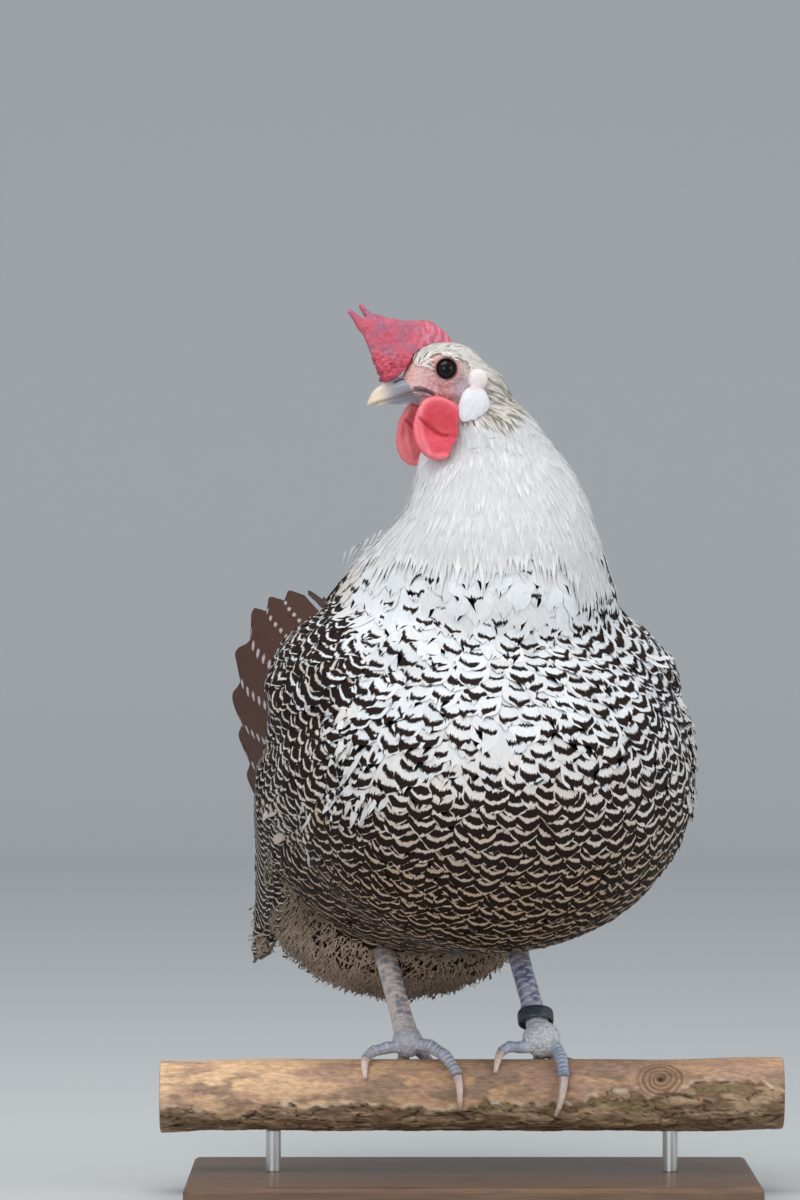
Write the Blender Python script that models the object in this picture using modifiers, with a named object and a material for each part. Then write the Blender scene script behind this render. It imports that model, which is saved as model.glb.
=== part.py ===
"""A silver-barred country hen perched on a cut branch, life size, on a plain display stand.

The row frame is in metres: +X runs along the perch, -Y is the front, +Z is up, and the origin is the centre of
the base's underside. The hen is modelled in its own frame, in millimetres: x to its left, y to its back, z up,
from the point on the top of the perch midway between its feet. The head has a frame of the same kind between the
eyes. Each form is the outline of the living bird, out to the tips of its feathers.
"""

import math

import bmesh
import bpy
from mathutils import Euler, Matrix, Vector

MM = 0.001
GAP = 0.35  # clearance between neighbouring pieces, mm

# Stand and perch, mm
BASE_SIZE = (300, 190, 12)
BASE_ROUNDING = 3
ROD_RADIUS = 4
ROD_SPREAD = 105
ROD_SHOWN = 22
PERCH_RADIUS = 18.8
PERCH_LENGTH = 330
PERCH_AXIS_Z = BASE_SIZE[2] + ROD_SHOWN + PERCH_RADIUS
PERCH_TOP_Z = PERCH_AXIS_Z + PERCH_RADIUS

# Pose, degrees and mm
HEN_HEADING = 25
HEAD_PLACE = (-23.9, -10.9, 365)
HEAD_TURN = -100

# Legs, mm
FOOT_PLACES = {"right": (-34, 2), "left": (37, 2)}
SHANK_LEAN = (-0.275, 0.589, 1.0)
SHANK_LENGTH = 86
SHANK_BARE = 0.74  # the share of it below the feathers of the thigh
SHANK_RADIUS = 5.9
PAD_HEIGHT = 10.2
TOE_RADIUS = 3.9
CLAW_RADIUS = 2.4
CLAW_TIP_RADIUS = 0.9
RING_INNER_RADIUS = 8.2
RING_WALL = 1.3
RING_HEIGHT = 7


# ---------------------------------------------------------------- helpers


def mm(*values):
    return Vector(values) * MM


def clear_scene():
    for obj in list(bpy.data.objects):
        bpy.data.objects.remove(obj)
    for name in ("hen", "cutters"):
        bpy.context.scene.collection.children.link(bpy.data.collections.new(name))


def material(name, colour, roughness, metallic=0.0):
    made = bpy.data.materials.new(name)
    made.use_nodes = True
    shader = made.node_tree.nodes["Principled BSDF"]
    shader.inputs["Base Color"].default_value = (*colour, 1.0)
    shader.inputs["Roughness"].default_value = roughness
    shader.inputs["Metallic"].default_value = metallic
    return made


def frame_at(name, place, rotation, parent=None):
    """An empty that carries the pieces modelled in its frame."""
    empty = bpy.data.objects.new(name, None)
    empty.location = place
    empty.rotation_euler = rotation
    empty.parent = parent
    bpy.data.collections["hen"].objects.link(empty)
    return empty


def add(name, mesh, finish, parent=None):
    """A piece of the hen or its stand."""
    obj = bpy.data.objects.new(name, mesh)
    obj.parent = parent
    mesh.materials.clear()
    mesh.materials.append(finish)
    mesh.shade_smooth()
    mesh.set_sharp_from_angle(angle=math.radians(40))
    bpy.data.collections["hen"].objects.link(obj)
    return obj


def as_cutter(obj):
    """Moves a helper out of the model."""
    for collection in list(obj.users_collection):
        collection.objects.unlink(obj)
    bpy.data.collections["cutters"].objects.link(obj)
    obj.hide_render = True
    obj.display_type = "WIRE"
    return obj


def cut(obj, other, operation="DIFFERENCE"):
    modifier = obj.modifiers.new(f"{operation.lower()}_{other.name}"[:60], "BOOLEAN")
    modifier.operation = operation
    modifier.object = other
    modifier.solver = "EXACT"


def face_out(cage):
    """Turns the faces outwards."""
    bmesh.ops.recalc_face_normals(cage, faces=cage.faces)
    if cage.calc_volume(signed=True) < 0:
        bmesh.ops.reverse_faces(cage, faces=cage.faces)


def baked(obj):
    """The object's mesh with its modifiers applied, its doubles merged and its faces pointing out."""
    bpy.context.view_layer.update()
    graph = bpy.context.evaluated_depsgraph_get()
    mesh = bpy.data.meshes.new_from_object(obj.evaluated_get(graph))
    cage = bmesh.new()
    cage.from_mesh(mesh)
    bmesh.ops.remove_doubles(cage, verts=cage.verts, dist=0.00001)
    face_out(cage)
    cage.to_mesh(mesh)
    cage.free()
    return mesh


def settle(obj):
    """Applies the object's modifiers."""
    obj.data = baked(obj)
    obj.modifiers.clear()


def drop_crumbs(obj):
    """Applies the object's cuts and keeps only the largest of the bodies that they leave."""
    settle(obj)
    cage = bmesh.new()
    cage.from_mesh(obj.data)
    bodies = []
    left = set(cage.verts)
    while left:
        reached = [left.pop()]
        for vertex in reached:
            for edge in vertex.link_edges:
                other = edge.other_vert(vertex)
                if other in left:
                    left.remove(other)
                    reached.append(other)
        bodies.append(reached)
    bodies.sort(key=len)
    bmesh.ops.delete(cage, geom=[vertex for body in bodies[:-1] for vertex in body], context="VERTS")
    cage.to_mesh(obj.data)
    cage.free()


def grown(obj, by=GAP):
    """A cutter with the object's finished form, larger by the clearance all round."""
    copy = bpy.data.objects.new(f"{obj.name}_grown", baked(obj))
    copy.parent = obj.parent
    copy.matrix_local = obj.matrix_local
    swell = copy.modifiers.new("swell", "DISPLACE")
    swell.strength = by * MM
    swell.mid_level = 0.0
    bpy.data.collections["hen"].objects.link(copy)
    return as_cutter(copy)


def fused(name, lobes, voxel, smoothing, triangles, finish, parent, others=()):
    """One smooth closed form from overlapping ellipsoids (centre, radii, frame), in mm, and other forms."""
    cage = bmesh.new()
    for other in others:
        cage.from_mesh(other.data)
        bpy.data.objects.remove(other)
    for centre, radii, frame in lobes:
        place = frame @ Matrix.Translation(mm(*centre)) @ Matrix.Diagonal((*mm(*radii), 1.0))
        bmesh.ops.create_icosphere(cage, subdivisions=4, radius=1.0, matrix=place)
    mesh = bpy.data.meshes.new(name)
    cage.to_mesh(mesh)
    cage.free()
    obj = add(name, mesh, finish, parent)
    fuse = obj.modifiers.new("fuse", "REMESH")
    fuse.mode = "VOXEL"
    fuse.voxel_size = voxel * MM
    fuse.use_smooth_shade = True
    soften = obj.modifiers.new("soften", "SMOOTH")
    soften.factor = 0.5
    soften.iterations = smoothing
    drop_crumbs(obj)
    thin = obj.modifiers.new("thin", "DECIMATE")
    thin.ratio = triangles / sum(len(face.vertices) - 2 for face in obj.data.polygons)
    settle(obj)
    return obj


def tube(name, points, radii, finish, parent=None, sides=3):
    """A closed tube through the points, in mm, with a radius at each."""
    curve = bpy.data.curves.new(name, "CURVE")
    curve.dimensions = "3D"
    curve.bevel_depth = MM
    curve.bevel_resolution = sides
    curve.use_fill_caps = True
    spline = curve.splines.new("POLY")
    spline.points.add(len(points) - 1)
    for knot, point, radius in zip(spline.points, points, radii):
        knot.co = (*mm(*point), 1.0)
        knot.radius = radius
    guide = bpy.data.objects.new(f"{name}_guide", curve)
    bpy.data.collections["hen"].objects.link(guide)
    mesh = baked(guide)
    bpy.data.objects.remove(guide)
    return add(name, mesh, finish, parent)


def through(points, steps):
    """A smooth line through a few points, as a Catmull-Rom curve."""
    ends = [2 * Vector(points[0]) - Vector(points[1])]
    knots = ends + [Vector(p) for p in points] + [2 * Vector(points[-1]) - Vector(points[-2])]
    line = []
    for a, b, c, d in zip(knots, knots[1:], knots[2:], knots[3:]):
        for step in range(steps):
            t = step / steps
            line.append(
                0.5 * (2 * b + (c - a) * t + (2 * a - 5 * b + 4 * c - d) * t**2 + (3 * b - a - 3 * c + d) * t**3)
            )
    line.append(Vector(points[-1]))
    return line


def along(values, t):
    """The value at t, from 0 to 1, on straight runs between evenly spaced values."""
    place = min(max(t, 0.0), 1.0) * (len(values) - 1)
    low = min(int(place), len(values) - 2)
    return values[low] + (values[low + 1] - values[low]) * (place - low)


def smoothstep(low, high, x):
    t = min(max((x - low) / (high - low), 0.0), 1.0)
    return t * t * (3 - 2 * t)


def sheet(name, rows, columns, place, finish, parent, thickness, fullness=None):
    """A curved plate: place(s, t) gives its points, in mm, for s and t from 0 to 1.

    Solidify gives its thickness, and fullness(s, t), from 0 to 1, the share of it at each point.
    """
    cage = bmesh.new()
    bmesh.ops.create_grid(cage, x_segments=columns, y_segments=rows, size=0.5)
    shares = []
    for vertex in cage.verts:
        s, t = vertex.co.x + 0.5, vertex.co.y + 0.5
        shares.append(fullness(s, t) if fullness else 1.0)
        vertex.co = mm(*place(s, t))
    mesh = bpy.data.meshes.new(name)
    cage.to_mesh(mesh)
    cage.free()
    obj = add(name, mesh, finish, parent)
    group = obj.vertex_groups.new(name="fullness")
    for index, share in enumerate(shares):
        group.add([index], share, "REPLACE")
    wall = obj.modifiers.new("wall", "SOLIDIFY")
    wall.thickness = thickness * MM
    wall.offset = 0.0
    wall.vertex_group = "fullness"
    settle(obj)
    obj.vertex_groups.clear()
    return obj


def shaped_ball(name, place, finish, parent, around=24, rings=16):
    """A sphere whose points are moved by place(x, y, z), which takes the unit sphere's and gives mm."""
    cage = bmesh.new()
    bmesh.ops.create_uvsphere(cage, u_segments=around, v_segments=rings, radius=1.0)
    for vertex in cage.verts:
        vertex.co = mm(*place(*vertex.co))
    face_out(cage)
    mesh = bpy.data.meshes.new(name)
    cage.to_mesh(mesh)
    cage.free()
    return add(name, mesh, finish, parent)


def half_space(name, point, tilt, parent, upward):
    """A large box on one side of a plane through the point, tilted about x, for thin cuts across the body."""
    side = 900
    turn = Matrix.Rotation(math.radians(tilt), 4, "X")
    shift = Vector((0, 0, (side / 2 + GAP / 2) * (1 if upward else -1)))
    centre = Vector(point) + turn.to_3x3() @ shift
    cage = bmesh.new()
    bmesh.ops.create_cube(cage, size=side * MM, matrix=Matrix.Translation(centre * MM) @ turn)
    mesh = bpy.data.meshes.new(name)
    cage.to_mesh(mesh)
    cage.free()
    obj = bpy.data.objects.new(name, mesh)
    obj.parent = parent
    bpy.data.collections["hen"].objects.link(obj)
    return as_cutter(obj)


# ---------------------------------------------------------------- stand and perch


def stand(wood, steel):
    """A flat wooden base with rounded edges, and two rods up to the perch."""
    width, depth, height = BASE_SIZE
    cage = bmesh.new()
    middle = Matrix.Translation(mm(0, 0, height / 2))
    bmesh.ops.create_cube(cage, size=1.0, matrix=middle @ Matrix.Diagonal((*mm(*BASE_SIZE), 1)))
    mesh = bpy.data.meshes.new("stand_base")
    cage.to_mesh(mesh)
    cage.free()
    base = add("stand_base", mesh, wood)
    rounding = base.modifiers.new("rounding", "BEVEL")
    rounding.width = BASE_ROUNDING * MM
    rounding.segments = 2
    foot = height + GAP
    for name, x in (("stand_rod_left", ROD_SPREAD), ("stand_rod_right", -ROD_SPREAD)):
        cage = bmesh.new()
        length = ROD_SHOWN - 2 * GAP
        bmesh.ops.create_cone(
            cage,
            cap_ends=True,
            segments=16,
            radius1=ROD_RADIUS * MM,
            radius2=ROD_RADIUS * MM,
            depth=length * MM,
            matrix=Matrix.Translation(mm(x, 0, foot + length / 2)),
        )
        mesh = bpy.data.meshes.new(name)
        cage.to_mesh(mesh)
        cage.free()
        add(name, mesh, steel)


def perch(bark):
    """A cut length of branch, a little bowed and uneven away from the feet, with flat seats for the rods."""
    steps = 14
    points = []
    radii = []
    for i in range(steps + 1):
        t = i / steps
        x = (t - 0.5) * PERCH_LENGTH
        away = smoothstep(70, 150, abs(x))
        points.append((x, 2.0 * away, PERCH_AXIS_Z - 1.2 * away * math.sin(x / 40)))
        radii.append(PERCH_RADIUS + 0.5 * away * math.sin(x / 17))
    return tube("perch", points, radii, bark, sides=3)


# ---------------------------------------------------------------- legs


def on_perch(x, turn, height):
    """A point over the perch's surface: turn is the angle from its top towards the front, in degrees."""
    reach = PERCH_RADIUS + height
    a = math.radians(turn)
    return (x, -reach * math.sin(a), PERCH_AXIS_Z + reach * math.cos(a))


def toe(name, route, size, scales, horn, cutters):
    """A toe and its claw, bent round the perch. The route's knots are x, turn in degrees, and lift off it."""
    line = through(route, 2)
    last = len(line) - 1
    claw_from = last - 4
    rest = GAP + 0.1
    radii = [size * TOE_RADIUS * (1 - 0.2 * i / claw_from) * (1 + 0.06 * (-1) ** i) for i in range(claw_from + 1)]
    points = [on_perch(p.x, p.y, p.z + r + rest) for p, r in zip(line, radii)]
    made = tube(name, points, radii, scales, sides=2)
    for other in cutters:
        cut(made, other)
    claw_radii = [CLAW_RADIUS + (CLAW_TIP_RADIUS - CLAW_RADIUS) * i / 4 for i in range(5)]
    sink = radii[-1] - CLAW_TIP_RADIUS
    heights = [max(radii[-1], r) + rest - sink * (i / 4) ** 2 for i, r in enumerate(claw_radii)]
    claw_points = [Vector(on_perch(p.x, p.y, p.z + h)) for p, h in zip(line[claw_from:], heights)]
    claw_points[0] += (claw_points[1] - claw_points[0]).normalized() * (GAP + 0.55)
    claw = tube(name.replace("toe", "claw"), claw_points, claw_radii, horn, sides=1)
    cut(claw, grown(made))
    return made


# Each toe's knots: distance along the perch from the foot's middle, turn round it to the front, and lift off it
TOES = {
    "right": {
        "middle": ((3, 4, 4), (12, 13, 3.5), (20, 28, 1), (26, 58, 0), (27.5, 84, 0), (27.6, 108, 0)),
        "outer": ((-4, 4, 3), (-11, 8, 2.5), (-18, 13, 1.5), (-22, 28, 0.3), (-22.8, 45, 0), (-22.2, 62, 0)),
        "inner": ((3, -14, 3), (8, -28, 1), (11, -44, 0), (12.5, -58, 0), (13, -72, 0), (13, -86, 0)),
        "hind": ((0, -16, 3), (-2, -36, 1), (-4, -58, 0), (-6, -80, 0), (-7, -98, 0), (-8, -114, 0)),
    },
    "left": {
        "middle": ((2, 4, 4), (7, 12, 3), (10, 30, 0.6), (11.2, 60, 0), (10.2, 90, 0), (7, 120, 0)),
        "inner": ((-4, 4, 3), (-11, 5, 2.5), (-17, 8, 3.5), (-21.5, 16, 1.8), (-23.6, 34, 0.3), (-24.8, 52, 0)),
        "outer": ((2, -18, 3), (5, -30, 1.5), (8, -38, 0.5), (11, -41, 0), (14, -38, 0), (16.5, -31, 0)),
        "hind": ((0, -16, 3), (-1, -36, 1), (-2, -58, 0), (-3, -80, 0), (-4, -98, 0), (-4, -114, 0)),
    },
}
# The ball of each foot: centre's height and radii along the perch, across it and up
FOOT_BALLS = {"right": (9.0, (8.4, 8.2, 8.4)), "left": (10.6, (10.4, 9.0, 9.8))}


def leg(side, scales, horn, ring_finish, perch_cutter, thigh_cutter):
    """A bare shank with the ball of the foot, three toes forward and one behind, and on the left a loose ring."""
    x, y = FOOT_PLACES[side]
    lean = Vector(SHANK_LEAN).normalized()
    ankle = Vector((x, y, PERCH_TOP_Z + PAD_HEIGHT))
    steps = 4
    line = [ankle + lean * (SHANK_LENGTH * SHANK_BARE * i / steps) for i in range(steps + 1)]
    radii = [
        SHANK_RADIUS * (1 + 0.2 * smoothstep(0.3, 0, i / steps) + 0.2 * smoothstep(0.8, 1, i / steps))
        for i in range(steps + 1)
    ]
    shank = tube(f"shank_{side}", line, radii, scales, sides=2)
    height, (rx, ry, rz) = FOOT_BALLS[side]
    ball = shaped_ball(
        f"ball_{side}",
        lambda u, v, w: (x + rx * u, y - 1 + ry * v, PERCH_TOP_Z + height + rz * w),
        scales,
        None,
        12,
        7,
    )
    cut(shank, ball, "UNION")
    settle(shank)
    as_cutter(ball)
    cut(shank, perch_cutter)
    cut(shank, thigh_cutter)
    earlier = [grown(shank)]
    for which in ("middle", "outer", "inner", "hind"):
        route = [(x + step, turn, lift) for step, turn, lift in TOES[side][which]]
        size = 1.0 if which == "middle" else 0.9
        made = toe(f"toe_{side}_{which}", route, size, scales, horn, earlier)
        earlier = earlier + [grown(made)]
    if side == "left":
        leg_ring(ankle, lean, ring_finish)
    return shank


def leg_ring(ankle, lean, finish):
    """A plain closed band, loose on the shank, tipped on to the ball of the foot."""
    half = RING_HEIGHT / 2
    outer = RING_INNER_RADIUS + RING_WALL
    profile = [(outer, half), (outer, -half), (RING_INNER_RADIUS, -half), (RING_INNER_RADIUS, half)]
    mesh = bpy.data.meshes.new("leg_ring")
    mesh.from_pydata([mm(r, 0, z) for r, z in profile], [(0, 1), (1, 2), (2, 3), (3, 0)], [])
    ring = add("leg_ring", mesh, finish)
    turn = ring.modifiers.new("turn", "SCREW")
    turn.steps = turn.render_steps = 24
    turn.use_merge_vertices = True
    turn.merge_threshold = 0.00001
    tip = Euler((math.radians(-6), math.radians(-9), 0)).to_matrix()
    ring.rotation_mode = "QUATERNION"
    ring.rotation_quaternion = (tip @ lean.to_track_quat("Z", "Y").to_matrix()).to_quaternion()
    ring.location = (ankle + lean * 13.2) * MM


# ---------------------------------------------------------------- body

# Feathered forms: centre and radii
BODY_LOBES = [
    ((0, -22, 147), (111, 98, 91)),  # breast
    ((0, 28, 134), (104, 98, 80)),  # flanks
    ((0, 68, 130), (80, 84, 72)),  # rump
    ((0, 88, 84), (77, 60, 56)),  # vent fluff
    ((0, 0, 200), (114, 86, 55)),  # shoulders
]
# The neck and its hackle from the shoulders up: x, y, z, half width, half depth, turn of the width in degrees
HACKLE_RINGS = [
    (0, 0, 220, 78, 80, 0),
    (0, 0, 243, 77, 84, 0),
    (0, -9, 259, 69, 73, 0),
    (0, -18, 270, 62, 62, 0),
    (1.5, -23, 281, 55.5, 52, 0),
    (5, -24, 292, 50, 44, -5),
    (4.5, -21, 303, 46.5, 38, -8),
    (4.5, -19, 312, 43, 31, -10),
    (2, -17, 322, 38, 25, -10),
    (-2.5, -18.5, 339, 27, 19, -10),
    (-4, -18, 346, 20, 14, -10),
]
NECK_CUT = ((0, 0, 226), -4)
HEAD_CUT = ((0, 0, 332), 0)

# Wing from wrist to tip: least x (mirrored on the other side), y, z, half height, half thickness
WING_STATIONS = [
    (70, -72, 196, 13, 5),
    (80, -46, 187, 44, 9),
    (90, -5, 174, 47, 10),
    (88, 40, 152, 43, 10),
    (76, 90, 116, 32, 8),
    (62, 130, 78, 19, 6),
    (57, 158, 42, 8, 3.5),
]
WING_SETTLE = 3  # how far its middle lies under the flank's surface


def wing_form(name, side, trunk, plumage, hen, outside=False):
    """The folded wing, laid on the flank, or the room that the trunk leaves for it and outside it."""
    sign = 1 if side == "left" else -1

    def flank(y, z):
        hit, place, _, _ = trunk.ray_cast(mm(300 * sign, y, z), Vector((-sign, 0, 0)), distance=0.3)
        return abs(place.x) / MM if hit else 0.0

    def place(u, v, w):
        t = (u + 1) / 2
        x, y, z, height, thick = (along([row[k] for row in WING_STATIONS], t) for k in range(5))
        ahead, down = (
            along([row[k] for row in WING_STATIONS], t + 0.05) - along([row[k] for row in WING_STATIONS], t - 0.05)
            for k in (1, 2)
        )
        run = math.hypot(ahead, down)
        full = math.sqrt(max(1 - u * u, 1e-6))
        rise = w / full
        fade = min(1.0, full * 2.2)
        lift = height * fade * rise
        y -= lift * down / run
        z += lift * ahead / run
        x = max(x - 6 * rise * rise, flank(y, z) - WING_SETTLE)
        out = thick * fade * (1 - 0.4 * rise * rise) * v / full
        if outside:
            out = 6 * out + 8 if v > 0.01 else out - 6 * GAP
            y += 6 * GAP * (u - rise * down / run)
            z += 6 * GAP * rise * ahead / run
        return (sign * (x + out), y, z)

    return shaped_ball(name, place, plumage, hen, 16, 10)


TAIL_ROOT = ((0, 60, 178), (34, 60, 112))
TAIL_EDGE = [
    (0, 222, 249),
    (13, 226, 246),
    (25, 228, 239),
    (38, 226, 213),
    (42, 222, 184),
    (39, 215, 158),
    (37, 208, 132),
]
TAIL_FEATHERS = 5


def tail(plumage, hen):
    """The tail feathers as one tented fan, ridged along the middle, with a scalloped edge."""
    top, low = TAIL_ROOT

    def place(s, t):
        across = 2 * t - 1
        sign = 1 if across >= 0 else -1
        a = abs(across)
        root = Vector(top) * (1 - a) + Vector(low) * a
        edge = Vector([along([p[k] for p in TAIL_EDGE], a) for k in range(3)])
        scallop = 1 - 0.035 * s**4 * abs(math.cos(math.pi * a * TAIL_FEATHERS))
        point = root + (edge - root) * s * scallop
        point.x += 8 * math.sin(math.pi * a) * (1 - s)
        return (sign * point.x, point.y, point.z)

    return sheet("tail", 24, 4, place, plumage, hen, 6, lambda s, t: 1 - 0.6 * s)


def thigh(side, plumage, foot):
    """The feathered drumstick that shows under the belly, down to the top of the bare shank."""
    x, y = foot
    lean = Vector(SHANK_LEAN).normalized()
    top = Vector((x, y, PERCH_TOP_Z + PAD_HEIGHT)) + lean * SHANK_LENGTH
    low = Vector((x, y, PERCH_TOP_Z + PAD_HEIGHT)) + lean * (SHANK_LENGTH * (SHANK_BARE - 0.1))
    axis = (top - low).normalized()
    turn = axis.to_track_quat("Z", "Y").to_matrix()
    length = (top - low).length

    def place(u, v, w):
        reach = length * (0.5 + 0.5 * w)
        swell = 0.62 + 0.5 * (0.5 + 0.5 * w)
        return low + turn @ Vector((16 * u * swell, 17 * v * swell, reach))

    return shaped_ball(f"thigh_{side}", place, plumage, None, 12, 7)


# ---------------------------------------------------------------- head

HEAD_LOBES = [
    ((0, 2, -2), (15, 22, 16.5)),  # skull
    ((0, -13, -9), (9.5, 12, 9)),  # base of the bill
    ((0, -4, -14), (12, 16, 9)),  # jaws
    ((0, 12, -17), (17, 16, 16)),  # cheeks and ears
    ((0, 19, -14), (17, 18, 16)),  # nape
    ((0, 22, -30), (19, 23, 20)),  # throat and upper neck
]
EYE_PLACE = (9.2, 1, -1.9)
EYE_RADIUS = 7.1
WATTLES = {"left": ((16, -6.2, -32), (2.8, 13.4, 17.5)), "right": ((-10.5, -9.5, -34), (2.8, 11.5, 17.5))}
WATTLE_SPREAD = 3.5  # how far their lower edges swing out
LOBE_LOWER = ((19, 13.5, -20), (3.4, 8.6, 9.4))
LOBE_UPPER = ((16.6, 16, -6), (3.2, 5.8, 5.6))

# The comb, front to back: its foot's y and z, its blade's height, lean to the front, fold and overhang
COMB_STATIONS = [
    (-31, -6, 30, 0.40, 8, 0),
    (-24, -3, 29, 0.32, 50, 4),
    (-15, 6, 21, 0.20, 145, 13),
    (-6, 13, 14, 0.05, 155, 13),
    (2, 15, 10, -0.05, 155, 11),
    (7, 12, 6, -0.10, 140, 4),
]
COMB_POINTS = 5
COMB_POINT_HEIGHT = 8
COMB_SPIKES = [
    ((0, -41, 20), (0, -45.5, 25.5), (0, -50, 30.3)),
    ((-3, -30, 20), (-5, -37, 26.5), (-6, -42, 33.5)),
]


def comb_place(s, t):
    """A point of the comb's blade: s from its front to its back, t from its foot to its free edge."""
    foot_y, foot_z, height, lean, fold, over = (along([row[k] for row in COMB_STATIONS], s) for k in range(6))
    point = (1 - abs(math.cos(math.pi * COMB_POINTS * s))) ** 2
    hang = over + COMB_POINT_HEIGHT * (point - 0.4) * smoothstep(2, 10, over)
    x, y, z = 0.0, foot_y, foot_z - 3
    parts = 24
    for i in range(parts):
        if (i + 0.5) / parts > t:
            break
        run = (i + 0.5) / parts * (height + 3 + hang)
        turn = math.radians(fold) * smoothstep(height - 3, height + 4, run)
        step = (height + 3 + hang) / parts
        x -= step * math.sin(turn)
        z += step * math.cos(turn)
        y -= lean * step * max(0.0, math.cos(turn))
    return (x + 1.2 * math.sin(9 * s) * t * (1 - t), y, z)


def fleshy_comb(red, pose, outline):
    """A single comb: thick at its foot, leaning over the bill, folded to the right, with two points in front."""
    blade = sheet(
        "blade",
        14,
        22,
        comb_place,
        red,
        pose,
        12,
        lambda s, t: 0.28 + 0.72 * (1 - smoothstep(0.05, 0.5, t)) * (1 - s),
    )
    forms = [blade]
    for line in COMB_SPIKES:
        forms.append(tube("spike", through(line, 2), [3.0, 2.6, 2.1, 1.7, 1.2], red, pose))
    comb = fused("comb", [], 0.8, 2, 540, red, pose, forms)
    cut(comb, outline)
    return comb


def body(plumage, white, hen, pose):
    """Trunk, neck and head from one form, parted by thin cuts under the hackle and under the head."""
    straight = Matrix.Identity(4)
    lobes = [(centre, radii, straight) for centre, radii in BODY_LOBES]
    for centre, radii in HEAD_LOBES:
        lobes.append((centre, radii, pose.matrix_local))

    def hackle(u, v, w):
        x, y, z, width, depth, turn = (along([row[k] for row in HACKLE_RINGS], (w + 1) / 2) for k in range(6))
        around = Vector((u, v)).normalized() * min(1.0, 4 * math.hypot(u, v))
        out = Matrix.Rotation(math.radians(turn), 2) @ Vector((around.x * width, around.y * depth))
        return (x + out.x, y + out.y, z)

    forms = []
    for triangles in (1300, 4000):
        neck_form = shaped_ball("neck_form", hackle, plumage, hen, 40, 40)
        forms.append(fused(f"form_{triangles}", lobes, 2.5, 16, triangles, plumage, hen, [neck_form]))
    pieces = []
    for name, form, finish, cuts in (
        ("trunk", forms[0], plumage, [(NECK_CUT, False)]),
        ("neck", forms[0], white, [(NECK_CUT, True), (HEAD_CUT, False)]),
        ("head", forms[1], white, [(HEAD_CUT, True)]),
    ):
        piece = add(name, form.data.copy(), finish, hen)
        for number, ((point, tilt), upward) in enumerate(cuts):
            cut(piece, half_space(f"room_of_{name}_{number}", point, tilt, hen, upward), "INTERSECT")
        settle(piece)
        pieces.append(piece)
    for form in forms:
        bpy.data.objects.remove(form)
    return pieces


def head_parts(head, neck, red, ivory, horn, eye_finish, pose):
    """Bill, eyes, comb, wattles and ear lobes. The fleshy parts stop at the head's surface."""
    flesh = [grown(head), grown(neck)]
    for side, sign in (("left", 1), ("right", -1)):
        x, y, z = EYE_PLACE
        eye = shaped_ball(
            f"eye_{side}",
            lambda u, v, w: (sign * x + EYE_RADIUS * u, y + EYE_RADIUS * v, z + EYE_RADIUS * w),
            eye_finish,
            pose,
            12,
            8,
        )
        room = grown(eye)
        cut(head, room)
        (cx, cy, cz), (rx, ry, rz) = WATTLES[side]
        wattle = shaped_ball(
            f"wattle_{side}",
            lambda u, v, w: (cx + rx * u - sign * WATTLE_SPREAD * w, cy + ry * v * (1 - 0.1 * w), cz + rz * w),
            red,
            pose,
            14,
            9,
        )
        for other in flesh:
            cut(wattle, other)
        drop_crumbs(wattle)
        balls = [((sign * cx, cy, cz), radii, Matrix.Identity(4)) for (cx, cy, cz), radii in (LOBE_LOWER, LOBE_UPPER)]
        lobe = fused(f"earlobe_{side}", balls, 1.0, 3, 160, ivory, pose)
        for other in flesh:
            cut(lobe, other)
        cut(lobe, grown(wattle))
        drop_crumbs(lobe)
    comb = fleshy_comb(red, pose, flesh[0])
    cut(comb, room)
    drop_crumbs(comb)
    bill(horn, pose, flesh[0], grown(comb))


def bill(horn, pose, outline, comb_cutter):
    """A short hooked upper bill closed over a flatter lower one."""
    upper = tube(
        "bill_upper",
        through([(0, -13, -9), (0, -24, -10), (0, -31, -11.3), (0, -36, -14.2), (0, -38.5, -18.8)], 3),
        [along([4.8, 5.2, 4.9, 3.5, 0.8], i / 12) for i in range(13)],
        horn,
        pose,
        sides=2,
    )
    cut(upper, outline)
    cut(upper, comb_cutter)
    lower = tube(
        "bill_lower",
        through([(0, -13, -15.5), (0, -22, -16.4), (0, -28, -16.9), (0, -33.5, -17)], 3),
        [along([3.8, 3.2, 2.4, 1.1], i / 9) for i in range(10)],
        horn,
        pose,
        sides=2,
    )
    cut(lower, outline)
    cut(lower, grown(upper))


# ---------------------------------------------------------------- assembly


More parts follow.
